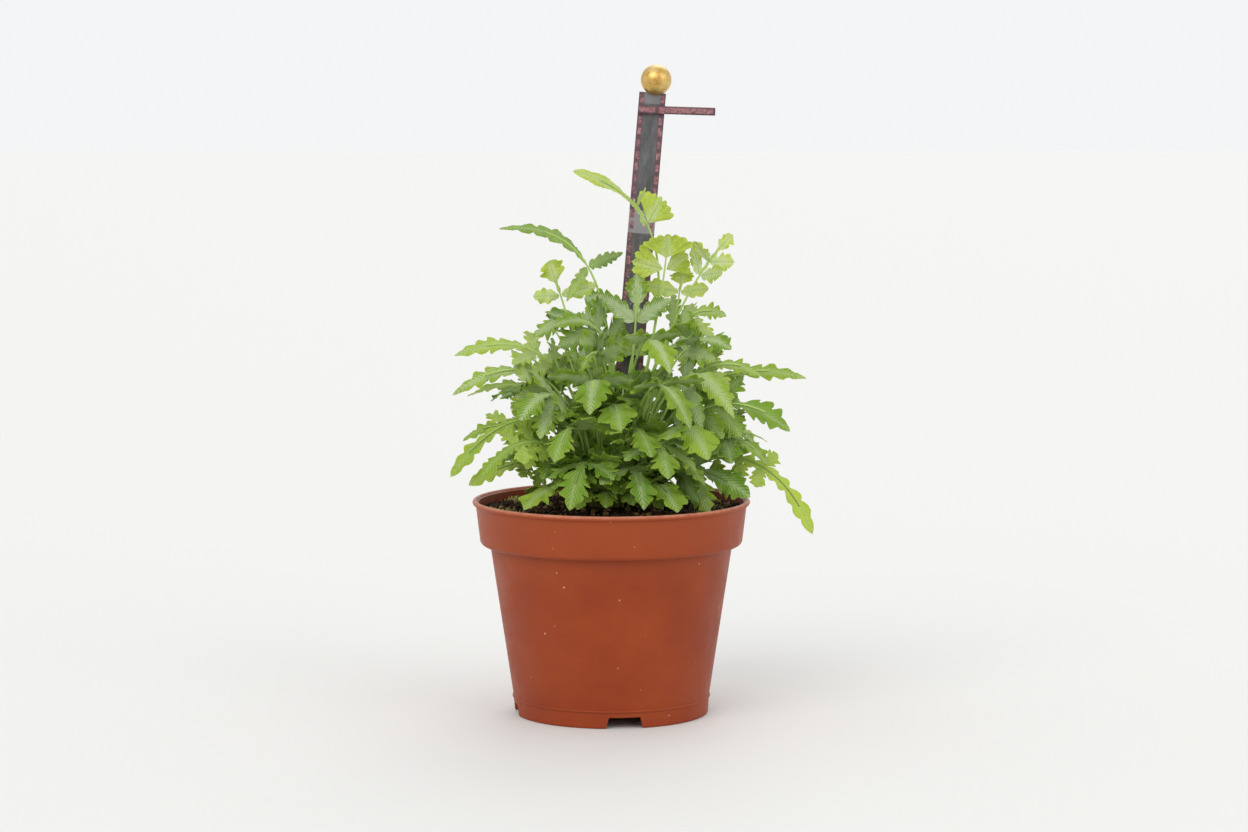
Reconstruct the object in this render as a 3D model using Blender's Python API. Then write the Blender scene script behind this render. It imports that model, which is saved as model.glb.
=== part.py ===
"""A young table fern in a nursery pot, with a marker pushed into the soil.

The pot stands on z = 0 and the last step centres the whole on its own box.
Fronds grow from buds on one crown, and each leaflet is turned or shortened
until it hangs clear of everything that grew before it.
"""
import itertools
import math

import bmesh
import bpy
from mathutils import Matrix, Vector, noise
from mathutils.bvhtree import BVHTree

MM = 0.001
UP = Vector((0, 0, 1))

# Pot: a moulded shell with a collar, a rolled lip and a foot ring.
POT_HEIGHT = 0.093
RIM_DIAMETER = 0.120
LIP_OVERHANG = 0.0014
LIP_HEIGHT = 0.0022
COLLAR_HEIGHT = 0.0150
COLLAR_TAPER = 0.0018
SHOULDER_WIDTH = 0.0046
SHOULDER_DROP = 0.0022
FOOT_DIAMETER = 0.0842
FOOT_BAND_HEIGHT = 0.0078
FOOT_BAND_STEP = 0.0004
FOOT_RING_WIDTH = 0.0024
FOOT_EDGE_RADIUS = 0.0009
FLOOR_HEIGHT = 0.0052
WALL = 0.0013
NOTCH_COUNT = 4
NOTCH_WIDTH = 0.0135
NOTCH_FLARE = 0.0012
NOTCH_TURN = math.radians(-82)
SLOT_COUNT = 8
SLOT_WIDTH = 0.0036
SLOT_LENGTH = 0.0120
SLOT_RING = 0.0240
POT_SEGMENTS = 48

# Soil: filled to a little under the rim, slightly heaped.
SOIL_BELOW_RIM = 0.0045
SOIL_HEAP = 0.0016
SOIL_ROUGHNESS = 0.0009
SOIL_SEGMENTS = 32
FIT_GAP = 0.0003

# Crown: the low woody clump that carries the buds.
CROWN_WIDTH = 0.050
CROWN_DEPTH = 0.036
CROWN_THICKNESS = 0.014
CROWN_ABOVE_SOIL = 0.0034
CROWN_OFFSET = (0.001, -0.003)
BUD_SPREAD = 0.74

# Marker: a flat strip with a cross arm and a ball on its top end.
STRIP_WIDTH = 0.0116
STRIP_THICKNESS = 0.0014
STRIP_ABOVE_SOIL = 0.1799
STRIP_BURIED = 0.054
STRIP_POINT = 0.012
STRIP_LEAN = math.radians(4.8)
STRIP_FOOT = (0.0029, 0.0195)
TANG_WIDTH = 0.0024
TANG_HEIGHT = 0.0050
ARM_LENGTH = 0.0335
ARM_HEIGHT = 0.0034
ARM_THICKNESS = 0.0014
ARM_BELOW_TOP = 0.0074
ARM_TILT = math.radians(-3.0)
BALL_DIAMETER = 0.0133
BALL_SEAT = 0.0014
BALL_OFFSET = 0.0010

# Fronds.
STALK_HALF = 0.0007
SHEET = 0.0008
CLEARANCE = 0.00035
BUD_LIFT = 0.0003
STALK_ROWS = 5
ATTACH_HALF = 0.0011
LEAFLET_STEPS = (0.34, 0.70, 1.0)
LEAFLET_WIDTHS = (1.0, 0.82, 0.30)

# Leaf kinds: leaflet pairs, leaflet length and half width, share of the blade
# that is the end leaflet and its half width, all lengths in mm, then the
# angle of the leaflets to the stalk, how far they droop, and the half width of
# the one leaflet, first on the upper side, that differs from the rest.
LEAF_KINDS = {
    "crest": dict(pairs=2, leaflet=14, half=1.7, end=0.52, end_half=2.4, spread=27, droop=0.0, first=6.2),
    "plume": dict(pairs=1, leaflet=17, half=2.4, end=0.80, end_half=2.6, spread=104, droop=0.05, first=2.6),
    "sprig": dict(pairs=1, leaflet=15, half=3.0, end=0.64, end_half=5.4, spread=64, droop=0.05, first=3.4),
    "fan": dict(pairs=1, leaflet=15, half=5.4, end=0.68, end_half=7.6, spread=47, droop=0.05, first=5.4),
    "young": dict(pairs=2, leaflet=14, half=3.4, end=0.44, end_half=3.6, spread=46, droop=0.05, first=3.6),
    "broad": dict(pairs=1, leaflet=19, half=5.4, end=0.72, end_half=7.4, spread=60, droop=0.20, first=5.4),
    "lobed": dict(pairs=2, leaflet=20, half=5.0, end=0.48, end_half=6.0, spread=56, droop=0.18, first=5.0),
    "strap": dict(pairs=1, leaflet=22, half=3.7, end=0.68, end_half=4.4, spread=48, droop=0.16, first=3.7),
    "wand": dict(pairs=2, leaflet=18, half=3.6, end=0.50, end_half=3.5, spread=52, droop=0.14, first=3.6),
    "lace": dict(pairs=3, leaflet=12, half=3.4, end=0.32, end_half=3.4, spread=58, droop=0.12, first=3.4),
    "crozier": dict(pairs=0, leaflet=0, half=0, end=0.60, end_half=1.5, spread=0, droop=0.0, first=0),
}

# Planting plan, in mm from the pot's axis and up from the soil: leaf kind,
# where the stalk bends, where its tip ends, length of the leafy part, and how
# far the blade rolls to face the front, in degrees.
PLAN = [
    ("crest", (44, -4, 130), (-16, -8, 147), 44, 55),
    ("plume", (6, -4, 127), (-48, -6, 122), 52, 50),
    ("sprig", (-20, -6, 92), (-27, -8, 108), 24, 80),
    ("crozier", (-15, -9, 66), (-24, -9, 78), 9, 0),
    ("fan", (24, -6, 94), (24, -7, 119), 20, 0),
    ("sprig", (31, 3, 84), (30, 3, 103), 14, 0),
    ("young", (33, -2, 102), (52, -3, 119), 30, 50),
    ("strap", (12, -10, 84), (11, -12, 103), 28, 0),
    ("lobed", (6, -8, 94), (-24, -14, 80), 38, 45),
    ("lobed", (0, -18, 88), (-14, -26, 62), 30, 0),
    ("wand", (24, 4, 96), (50, 4, 84), 36, 40),
    ("lobed", (30, -8, 88), (51, -12, 70), 32, 45),
    ("broad", (14, -26, 100), (24, -40, 62), 34, 0),
    ("broad", (18, -34, 80), (33, -48, 40), 32, 0),
    ("strap", (32, -20, 84), (51, -30, 42), 36, 50),
    ("wand", (-22, -6, 86), (-67, -12, 68), 48, 40),
    ("wand", (-24, -16, 80), (-68, -22, 53), 46, 50),
    ("wand", (-26, 8, 66), (-62, 8, 48), 40, 30),
    ("broad", (-6, -32, 80), (-9, -46, 46), 32, 0),
    ("lobed", (-22, -24, 70), (-38, -36, 42), 32, 30),
    ("lace", (-34, -18, 62), (-69, -26, 18), 46, 45),
    ("lace", (-34, -30, 48), (-54, -38, 18), 34, 40),
    ("lace", (-30, -12, 32), (-61, -18, 13), 38, 35),
    ("wand", (36, 0, 70), (84, -4, 58), 50, 45),
    ("wand", (32, -14, 76), (64, -18, 61), 36, 40),
    ("lobed", (40, -18, 64), (77, -24, 38), 42, 50),
    ("broad", (34, -28, 56), (45, -38, 26), 26, 20),
    ("lace", (66, -16, 42), (86, -20, -8), 52, 55),
    ("lobed", (34, -16, 28), (60, -24, 9), 30, 45),
    ("lobed", (-12, -34, 38), (-17, -53, 7), 32, 0),
    ("lobed", (10, -34, 34), (14, -54, 7), 32, 0),
    ("broad", (20, -30, 22), (28, -47, 5), 24, 0),
    ("broad", (-24, -26, 20), (-36, -40, 4), 24, 0),
    ("strap", (24, -22, 26), (37, -35, 3), 24, 0),
    ("lobed", (12, -30, 54), (23, -48, 28), 30, 0),
    ("lobed", (-14, -30, 56), (-24, -46, 26), 30, 0),
    ("broad", (0, -28, 64), (4, -48, 40), 28, 0),
    ("lobed", (24, 28, 84), (34, 48, 62), 36, 0),
    ("lobed", (-12, 26, 80), (-24, 50, 56), 36, 0),
    ("wand", (-2, 34, 64), (-4, 60, 40), 42, 0),
    ("lobed", (30, 24, 64), (54, 42, 42), 36, 20),
    ("lobed", (-28, 22, 66), (-54, 38, 44), 36, 20),
    ("lobed", (24, 30, 38), (38, 54, 18), 34, 0),
    ("lace", (-22, 30, 38), (-38, 52, 16), 38, 0),
    ("lobed", (-12, 34, 28), (-12, 60, 14), 32, 0),
    ("wand", (40, 16, 46), (68, 26, 26), 38, 30),
    ("wand", (-40, 14, 46), (-66, 22, 28), 38, 30),
    ("broad", (4, 24, 100), (12, 38, 86), 28, 0),
    ("lobed", (-10, 20, 96), (-28, 32, 82), 32, 10),
    ("lobed", (18, -34, 48), (22, -54, 20), 28, 0),
    ("lobed", (42, -22, 46), (58, -36, 23), 30, 20),
    ("lobed", (-28, -22, 40), (-48, -32, 22), 30, 20),
    ("lobed", (46, -4, 48), (66, -6, 26), 32, 20),
    ("lobed", (10, 34, 22), (20, 56, 8), 30, 0),
]

# Patches of open soil left for watering: corner to corner in mm, from the
# pot's axis and up from the soil.
WATERING_GAPS = [
    ((40, -8, 1), (54, 8, 14)),
    ((-54, -5, 1), (-40, 12, 14)),
    ((-2, 40, 1), (16, 53, 14)),
]

# Growth tries, in degrees and mm.
STALK_TURNS = (0, 3, -3, 6, -6, 10, -10, 15, -15, 20, -20, 26, -26)
FAR_TURNS = (33, -33, 42, -42, 52, -52, 64, -64)
STALK_LIFTS = (0, 4, -4, 8, 12, 17, 23)
LEAFLET_SCALES = (1.0, 0.85, 0.7, 0.55, 0.42, 0.3, 0.2, 0.12)
LEAFLET_LIFTS = (0, 12, -12, 24, -24, 38, -38, 54, -54, 75)
LEAFLET_SWINGS = (0, 14, -14, 28, -28)
BUD_TRIES = 8
TALLEST_BEND = 126

SOIL_TOP = POT_HEIGHT - SOIL_BELOW_RIM


# ---------------------------------------------------------------- helpers

def clear_scene():
    for item in list(bpy.data.objects):
        bpy.data.objects.remove(item, do_unlink=True)


def material(name, colour, roughness, metallic=0.0):
    made = bpy.data.materials.new(name)
    made.use_nodes = True
    surface = made.node_tree.nodes["Principled BSDF"]
    surface.inputs["Base Color"].default_value = (*colour, 1.0)
    surface.inputs["Roughness"].default_value = roughness
    surface.inputs["Metallic"].default_value = metallic
    made.diffuse_color = (*colour, 1.0)
    return made


def add_object(name, mesh_data, look=None):
    item = bpy.data.objects.new(name, mesh_data)
    bpy.context.scene.collection.objects.link(item)
    if look:
        item.data.materials.append(look)
    return item


def to_mesh(name, bm, smooth_angle=None):
    bmesh.ops.recalc_face_normals(bm, faces=bm.faces)
    made = bpy.data.meshes.new(name)
    bm.to_mesh(made)
    bm.free()
    if smooth_angle:
        made.shade_smooth()
        made.set_sharp_from_angle(angle=smooth_angle)
    return made


def cutter(name, bm):
    item = add_object(name, to_mesh(name, bm))
    item.hide_render = True
    item.display_type = "WIRE"
    return item


def cut(item, tool):
    step = item.modifiers.new(tool.name, "BOOLEAN")
    step.operation = "DIFFERENCE"
    step.object = tool
    step.solver = "EXACT"


def revolve(profile, segments):
    """Turn a closed outline of (radius, height) points round the z axis."""
    bm = bmesh.new()
    corners = [bm.verts.new((radius, 0, height)) for radius, height in profile]
    edges = [
        bm.edges.new((corners[i], corners[(i + 1) % len(corners)]))
        for i in range(len(corners))
    ]
    bmesh.ops.spin(
        bm, geom=corners + edges, cent=(0, 0, 0), axis=(0, 0, 1),
        angle=math.tau, steps=segments, use_merge=True, use_duplicate=False,
    )
    bmesh.ops.remove_doubles(bm, verts=bm.verts, dist=1e-6)
    bmesh.ops.dissolve_degenerate(bm, edges=bm.edges, dist=1e-6)
    loose = [edge for edge in bm.edges if not edge.link_faces]
    bmesh.ops.delete(bm, geom=loose, context="EDGES")
    return bm


def arc(centre, radius, start, end, steps):
    """Points on a circular arc in the outline plane, angles in degrees."""
    points = []
    for i in range(steps + 1):
        angle = math.radians(start + (end - start) * i / steps)
        points.append((centre[0] + radius * math.cos(angle), centre[1] + radius * math.sin(angle)))
    return points


def block(bm, size, place):
    """Add a box of the given size, moved by the matrix place."""
    made = bmesh.ops.create_cube(bm, size=1.0)["verts"]
    bmesh.ops.scale(bm, vec=size, verts=made)
    bmesh.ops.transform(bm, matrix=place, verts=made)
    return made


def jitter(index, channel):
    """An even, repeatable spread of small differences from -1 to 1."""
    wave = math.sin(index * 12.9898 + channel * 78.233) * 43758.5453
    return 2.0 * (wave - math.floor(wave)) - 1.0


# -------------------------------------------------------------------- pot

def wall_radii():
    """Outer radii of the pot where its outline turns."""
    rim = RIM_DIAMETER / 2
    collar_top = rim - LIP_OVERHANG
    collar_foot = collar_top - COLLAR_TAPER
    body_top = collar_foot - SHOULDER_WIDTH
    foot = FOOT_DIAMETER / 2
    return rim, collar_top, collar_foot, body_top, foot


def inner_wall():
    """Inside of the pot, from the lip's inner edge down to the floor's edge."""
    rim, collar_top, collar_foot, body_top, foot = wall_radii()
    shoulder = POT_HEIGHT - LIP_HEIGHT - COLLAR_HEIGHT
    floor_top = FLOOR_HEIGHT + WALL
    return [
        (collar_top - WALL, POT_HEIGHT - LIP_HEIGHT / 2),
        (collar_foot - WALL, shoulder + WALL),
        (body_top - WALL, shoulder - SHOULDER_DROP),
        (foot + FOOT_BAND_STEP - WALL, floor_top + 2 * WALL),
        (foot + FOOT_BAND_STEP - 3 * WALL, floor_top),
    ]


def pot_outline():
    rim, collar_top, collar_foot, body_top, foot = wall_radii()
    shoulder = POT_HEIGHT - LIP_HEIGHT - COLLAR_HEIGHT
    lip = LIP_HEIGHT / 2
    outline = [(foot - FOOT_RING_WIDTH, 0.0)]
    outline += arc((foot - FOOT_EDGE_RADIUS, FOOT_EDGE_RADIUS), FOOT_EDGE_RADIUS, -90, 0, 3)
    outline += [
        (foot + FOOT_BAND_STEP, FOOT_BAND_HEIGHT - FOOT_BAND_STEP),
        (foot + 2 * FOOT_BAND_STEP, FOOT_BAND_HEIGHT),
        (body_top, shoulder - SHOULDER_DROP),
    ]
    outline += arc((collar_foot - SHOULDER_DROP, shoulder), SHOULDER_DROP, -75, 0, 3)
    outline += [(collar_top, POT_HEIGHT - LIP_HEIGHT - LIP_OVERHANG / 2)]
    outline += arc((rim - lip, POT_HEIGHT - lip), lip, -45, 150, 6)
    outline += inner_wall()
    outline += [
        (0.0, FLOOR_HEIGHT + WALL),
        (0.0, FLOOR_HEIGHT),
        (foot - FOOT_RING_WIDTH, FLOOR_HEIGHT),
    ]
    return outline


def make_pot(look):
    item = add_object("pot", to_mesh("pot", revolve(pot_outline(), POT_SEGMENTS), math.radians(35)), look)
    foot = FOOT_DIAMETER / 2

    notches = bmesh.new()
    depth = 4 * FOOT_RING_WIDTH
    for i in range(NOTCH_COUNT):
        turn = Matrix.Rotation(NOTCH_TURN + i * math.tau / NOTCH_COUNT, 4, "Z")
        middle = Matrix.Translation((foot - FOOT_RING_WIDTH / 2, 0, 0))
        corners = block(notches, (depth, NOTCH_WIDTH, 2 * FLOOR_HEIGHT - 2 * FIT_GAP), turn @ middle)
        for corner in corners:
            if corner.co.z < 0:
                side = turn.to_3x3() @ Vector((0, 1, 0))
                corner.co += side * math.copysign(NOTCH_FLARE * 2, corner.co.dot(side))
    cut(item, cutter("notch_cutter", notches))

    slots = bmesh.new()
    for i in range(SLOT_COUNT):
        turn = Matrix.Rotation(NOTCH_TURN + (i + 0.5) * math.tau / SLOT_COUNT, 4, "Z")
        place = turn @ Matrix.Translation((SLOT_RING, 0, FLOOR_HEIGHT + WALL / 2))
        block(slots, (SLOT_LENGTH, SLOT_WIDTH, 4 * WALL), place)
    cut(item, cutter("slot_cutter", slots))
    return item


# ------------------------------------------------------------------- soil

def soil_height(x, y):
    """Top of the soil at one place: a low heap with clods."""
    reach = min(1.0, math.hypot(x, y) / (RIM_DIAMETER / 2))
    clods = noise.noise(Vector((x, y, 0)) / 0.011) * SOIL_ROUGHNESS
    return SOIL_TOP + SOIL_HEAP * (1 - reach * reach) + clods


def wall_radius_at(height):
    """Inner radius of the pot at one height."""
    wall = inner_wall()
    for (outer, top), (inner, low) in zip(wall, wall[1:]):
        if low <= height <= top:
            return inner + (outer - inner) * (height - low) / (top - low)
    return wall[0][0]


def make_soil(look, holes):
    top_radius = wall_radius_at(SOIL_TOP) - FIT_GAP
    outline = [(0.0, SOIL_TOP)]
    outline += [(top_radius * share, SOIL_TOP) for share in (0.25, 0.5, 0.75, 1.0)]
    for radius, height in inner_wall()[1:]:
        outline.append((radius - FIT_GAP, height + FIT_GAP))
    outline.append((0.0, FLOOR_HEIGHT + WALL + FIT_GAP))
    bm = revolve(outline, SOIL_SEGMENTS)
    for corner in bm.verts:
        if corner.co.z > SOIL_TOP - 1e-6:
            corner.co.z = soil_height(corner.co.x, corner.co.y)
    item = add_object("potting_soil", to_mesh("potting_soil", bm, math.radians(60)), look)
    for hole in holes:
        cut(item, hole)
    return item


# ------------------------------------------------------------------ crown

def crown_surface(x, y):
    """Height of the crown's top at one place, or None outside it."""
    across = (x - CROWN_OFFSET[0]) / (CROWN_WIDTH / 2)
    along = (y - CROWN_OFFSET[1]) / (CROWN_DEPTH / 2)
    share = 1 - across * across - along * along
    if share <= 0:
        return None
    return crown_centre() + CROWN_THICKNESS / 2 * math.sqrt(share)


def crown_centre():
    return SOIL_TOP + SOIL_HEAP + CROWN_ABOVE_SOIL - CROWN_THICKNESS / 2


def crown_mesh(grow):
    bm = bmesh.new()
    bmesh.ops.create_uvsphere(bm, u_segments=20, v_segments=10, radius=1.0)
    size = (CROWN_WIDTH / 2 + grow, CROWN_DEPTH / 2 + grow, CROWN_THICKNESS / 2 + grow)
    bmesh.ops.scale(bm, vec=size, verts=bm.verts)
    bmesh.ops.translate(bm, vec=(*CROWN_OFFSET, crown_centre()), verts=bm.verts)
    return bm


# ----------------------------------------------------------------- marker

def strip_place():
    """Frame of the marker: origin where the strip leaves the soil, z along it."""
    return Matrix.Translation((*STRIP_FOOT, SOIL_TOP)) @ Matrix.Rotation(STRIP_LEAN, 4, "Y")


def strip_mesh(grow):
    bm = bmesh.new()
    half = STRIP_WIDTH / 2 + grow
    tang = TANG_WIDTH / 2
    shoulder = STRIP_ABOVE_SOIL
    outline = [
        (0, -STRIP_BURIED - grow),
        (half, -STRIP_BURIED + STRIP_POINT),
        (half, shoulder),
        (BALL_OFFSET + tang, shoulder),
        (BALL_OFFSET + tang, shoulder + TANG_HEIGHT),
        (BALL_OFFSET - tang, shoulder + TANG_HEIGHT),
        (BALL_OFFSET - tang, shoulder),
        (-half, shoulder),
        (-half, -STRIP_BURIED + STRIP_POINT),
    ]
    thickness = STRIP_THICKNESS + 2 * grow
    corners = [bm.verts.new((x, -thickness / 2, z)) for x, z in outline]
    face = bm.faces.new(corners)
    grown = bmesh.ops.extrude_face_region(bm, geom=[face])["geom"]
    moved = [part for part in grown if isinstance(part, bmesh.types.BMVert)]
    bmesh.ops.translate(bm, vec=(0, thickness, 0), verts=moved)
    bmesh.ops.transform(bm, matrix=strip_place(), verts=bm.verts)
    return bm


def make_marker(strip_look, arm_look, ball_look):
    strip = add_object("marker_stake", to_mesh("marker_stake", strip_mesh(0.0)), strip_look)

    arm = bmesh.new()
    pivot = (0, -(STRIP_THICKNESS + ARM_THICKNESS) / 2 - FIT_GAP, STRIP_ABOVE_SOIL - ARM_BELOW_TOP)
    tilt = Matrix.Translation(pivot) @ Matrix.Rotation(ARM_TILT, 4, "Y")
    middle = Matrix.Translation(((ARM_LENGTH - STRIP_WIDTH) / 2, 0, 0))
    block(arm, (ARM_LENGTH, ARM_THICKNESS, ARM_HEIGHT), tilt @ middle)
    bmesh.ops.bevel(
        arm, geom=arm.edges, offset=0.0004, affect="EDGES", segments=1, profile=0.5,
    )
    bmesh.ops.transform(arm, matrix=strip_place(), verts=arm.verts)
    arm_item = add_object("marker_arm", to_mesh("marker_arm", arm), arm_look)

    ball = bmesh.new()
    bmesh.ops.create_uvsphere(ball, u_segments=20, v_segments=10, radius=BALL_DIAMETER / 2)
    lift = STRIP_ABOVE_SOIL - BALL_SEAT + FIT_GAP + BALL_DIAMETER / 2
    bmesh.ops.translate(ball, vec=(BALL_OFFSET, 0, lift), verts=ball.verts)
    bmesh.ops.transform(ball, matrix=strip_place(), verts=ball.verts)
    ball_item = add_object("marker_ball", to_mesh("marker_ball", ball, math.radians(60)), ball_look)

    gap = 2 * FIT_GAP
    socket = bmesh.new()
    size = (TANG_WIDTH + gap, STRIP_THICKNESS + gap, 2 * TANG_HEIGHT + gap)
    block(socket, size, strip_place() @ Matrix.Translation((BALL_OFFSET, 0, STRIP_ABOVE_SOIL)))
    cut(ball_item, cutter("tang_cutter", socket))
    seat = bmesh.new()
    size = (BALL_DIAMETER, STRIP_THICKNESS + gap, 2 * BALL_SEAT)
    foot = Matrix.Translation((BALL_OFFSET, 0, STRIP_ABOVE_SOIL - BALL_SEAT + FIT_GAP))
    block(seat, size, strip_place() @ foot)
    cut(ball_item, cutter("seat_cutter", seat))
    return [strip, arm_item, ball_item]


# ----------------------------------------------------------------- fronds

class Frond:
    """One frond: its stalk's curve, its leaf kind and the places of its leaflets."""

    def __init__(self, number, kind, bend, tip, blade, roll):
        self.number = number
        self.kind = LEAF_KINDS[kind]
        self.roll = math.radians(roll)
        self.bend = bend
        self.tip = tip
        self.blade = blade * MM
        self.leaflets = []

    def place(self, bud, turn=0.0, lift=0.0):
        """Set the stalk's curve from a bud, turned about it and lifted at its tip."""
        spin = Matrix.Rotation(math.radians(turn), 3, "Z")
        bend = Vector(self.bend) * MM + UP * (SOIL_TOP + 0.6 * lift * MM)
        tip = Vector(self.tip) * MM + UP * (SOIL_TOP + lift * MM)
        bend = bud + spin @ (bend - bud)
        tip = bud + spin @ (tip - bud)
        rise = (bend - bud) * 0.28
        rise.z = (bend.z - bud.z) * 0.5
        self.curve = (bud, bud + rise, bend, tip)
        ahead = (tip - bend).normalized()
        flat = Vector((ahead.x, ahead.y, 0))
        if flat.length < 0.35:
            flat = Vector((tip.x, tip.y, 0)) * 0.2 + Vector((0, -0.01, 0))
        self.side = flat.cross(UP).normalized()
        length = sum((self.point((i + 1) / 24) - self.point(i / 24)).length for i in range(24))
        self.blade_start = max(0.3, 1 - self.blade / length)

    def point(self, t):
        a, b, c, d = self.curve
        s = 1 - t
        return a * s ** 3 + b * 3 * s * s * t + c * 3 * s * t * t + d * t ** 3

    def tangent(self, t):
        a, b, c, d = self.curve
        s = 1 - t
        return ((b - a) * 3 * s * s + (c - b) * 6 * s * t + (d - c) * 3 * t * t)

    def frame(self, t):
        """Point, direction, side and upper side of the stalk at t."""
        ahead = self.tangent(t).normalized()
        side = (self.side - ahead * self.side.dot(ahead)).normalized()
        over = side.cross(ahead)
        roll = self.roll * min(1.0, t / self.blade_start)
        towards = 1 if ahead.cross(over).y <= 0 else -1
        side = Matrix.Rotation(roll * towards, 3, ahead) @ side
        return self.point(t), ahead, side, side.cross(ahead)

    def pair_places(self):
        """Stalk positions of the leaflet pairs, and of the end leaflet."""
        end = 1 - (1 - self.blade_start) * self.kind["end"]
        pairs = self.kind["pairs"]
        return [self.blade_start + (end - self.blade_start) * i / pairs for i in range(pairs)], end

    def stalk_rows(self):
        """Rows across the stalk and its end leaflet: (t, half width)."""
        pairs, end = self.pair_places()
        rows = []
        first = pairs[0] if pairs else end
        step = ATTACH_HALF / self.tangent(first).length
        for i in range(STALK_ROWS):
            rows.append(((first - step) * i / STALK_ROWS, STALK_HALF))
        for place in pairs:
            step = ATTACH_HALF / self.tangent(place).length
            rows += [(place - step, STALK_HALF), (place + step, STALK_HALF)]
        rows.append((end, STALK_HALF))
        for share, width in zip(LEAFLET_STEPS, LEAFLET_WIDTHS):
            rows.append((end + (1 - end) * share, self.kind["end_half"] * MM * width))
        return rows

    def stalk_strip(self):
        strip = []
        for t, half in self.stalk_rows():
            centre, ahead, side, over = self.frame(t)
            strip.append((centre, side, over, half))
        return strip

    def leaflet_strip(self, pair, hand, scale, lift, swing):
        """Rows of one side leaflet; hand is 1 or -1 for its side of the stalk."""
        places, end = self.pair_places()
        centre, ahead, side, over = self.frame(places[pair])
        count = max(1, len(places))
        channel = 2 * pair + (hand > 0)
        length = self.kind["leaflet"] * MM * scale * (1 - 0.28 * pair / count)
        length *= 1 + 0.16 * jitter(self.number, channel)
        wide = self.kind["first"] if pair == 0 and hand > 0 else self.kind["half"]
        half = wide * MM * (0.5 + 0.5 * scale)
        spread = math.radians(self.kind["spread"] + swing + 6 * jitter(self.number, 10 + channel))
        rise = math.radians(lift + 8 + 8 * jitter(self.number, 20 + channel))
        out = side * hand
        level = ahead * math.cos(spread) + out * math.sin(spread)
        along = level * math.cos(rise) + over * math.sin(rise)
        across = (ahead * math.sin(spread) - out * math.cos(spread)).normalized()
        root = centre + out * STALK_HALF
        strip = [(root, ahead, over, ATTACH_HALF)]
        for share, width in zip(LEAFLET_STEPS, LEAFLET_WIDTHS):
            spot = root + along * length * share - UP * self.kind["droop"] * length * share ** 2
            heading = (along - UP * self.kind["droop"] * 2 * share).normalized()
            edge = (across - heading * across.dot(heading)).normalized()
            strip.append((spot, edge, heading.cross(edge) * hand, half * width))
        return strip


def prism(strip, thickness, grow, skip_root=False):
    """Closed hull of a strip as vertices and faces, for the growth test."""
    rows = strip
    if skip_root:
        (a, side, over, half), second = strip[0], strip[1]
        rows = [(a.lerp(second[0], 0.25), second[1], second[2], half)] + strip[1:]
    corners = []
    for centre, side, over, half in rows:
        for across, up in ((-1, -1), (1, -1), (1, 1), (-1, 1)):
            corners.append(centre + side * across * (half + grow) + over * up * (thickness / 2 + grow))
    faces = [(0, 1, 2, 3), tuple(len(corners) - i for i in (4, 3, 2, 1))]
    for row in range(len(rows) - 1):
        start = 4 * row
        for i in range(4):
            j = (i + 1) % 4
            faces.append((start + i, start + j, start + 4 + j, start + 4 + i))
    return corners, faces


class Grown:
    """Everything that already stands, for telling whether a new piece is clear."""

    def __init__(self):
        self.trees = []

    def add(self, corners, faces):
        low = Vector(map(min, zip(*corners)))
        high = Vector(map(max, zip(*corners)))
        self.trees.append((low, high, BVHTree.FromPolygons(corners, faces)))

    def add_strip(self, strip, skip_root=False):
        """Add a strip and return its place in the list."""
        self.add(*prism(strip, SHEET, 0.0, skip_root))
        return len(self.trees) - 1

    def add_object(self, item):
        evaluated = item.evaluated_get(bpy.context.evaluated_depsgraph_get())
        made = evaluated.to_mesh()
        corners = [corner.co.copy() for corner in made.vertices]
        self.add(corners, [tuple(face.vertices) for face in made.polygons])
        evaluated.to_mesh_clear()

    def add_box(self, low, high):
        bm = bmesh.new()
        middle = (Vector(low) + Vector(high)) / 2
        block(bm, Vector(high) - Vector(low), Matrix.Translation(middle))
        bm.verts.ensure_lookup_table()
        self.add([corner.co.copy() for corner in bm.verts], [[c.index for c in f.verts] for f in bm.faces])
        bm.free()

    def is_clear(self, strip, own_stalk=None):
        """True if a strip touches nothing; a leaflet's root may meet its own stalk."""
        corners, faces = prism(strip, SHEET, CLEARANCE)
        low = Vector(map(min, zip(*corners)))
        high = Vector(map(max, zip(*corners)))
        tree = None
        for number, (other_low, other_high, other) in enumerate(self.trees):
            if any(low[i] > other_high[i] or high[i] < other_low[i] for i in range(3)):
                continue
            if number == own_stalk:
                if BVHTree.FromPolygons(*prism(strip, SHEET, CLEARANCE, True)).overlap(other):
                    return False
                continue
            tree = tree or BVHTree.FromPolygons(corners, faces)
            if tree.overlap(other):
                return False
        return True


def buds():
    """Bud places on the crown, on a sunflower spiral so that they stay apart."""
    places = []
    count = len(PLAN) + 6
    for i in range(count):
        reach = BUD_SPREAD * math.sqrt((i + 0.5) / count)
        angle = i * math.pi * (3 - math.sqrt(5))
        x = CROWN_OFFSET[0] + CROWN_WIDTH / 2 * reach * math.cos(angle)
        y = CROWN_OFFSET[1] + CROWN_DEPTH / 2 * reach * math.sin(angle)
        places.append(Vector((x, y, crown_surface(x, y) + BUD_LIFT)))
    return places


def grow_fronds(grown):
    free = buds()
    fronds = []
    for number, (kind, bend, tip, blade, roll) in enumerate(PLAN):
        frond = Frond(number, kind, bend, tip, blade, roll)
        bud = clear_stalk(frond, free, grown)
        free.remove(bud)
        stalk = grown.add_strip(frond.stalk_strip())
        for pair in range(frond.kind["pairs"]):
            for hand in (1, -1):
                growth = clear_leaflet(frond, pair, hand, stalk, grown)
                if growth:
                    frond.leaflets.append((pair, hand, *growth))
        fronds.append(frond)
    return fronds


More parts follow.
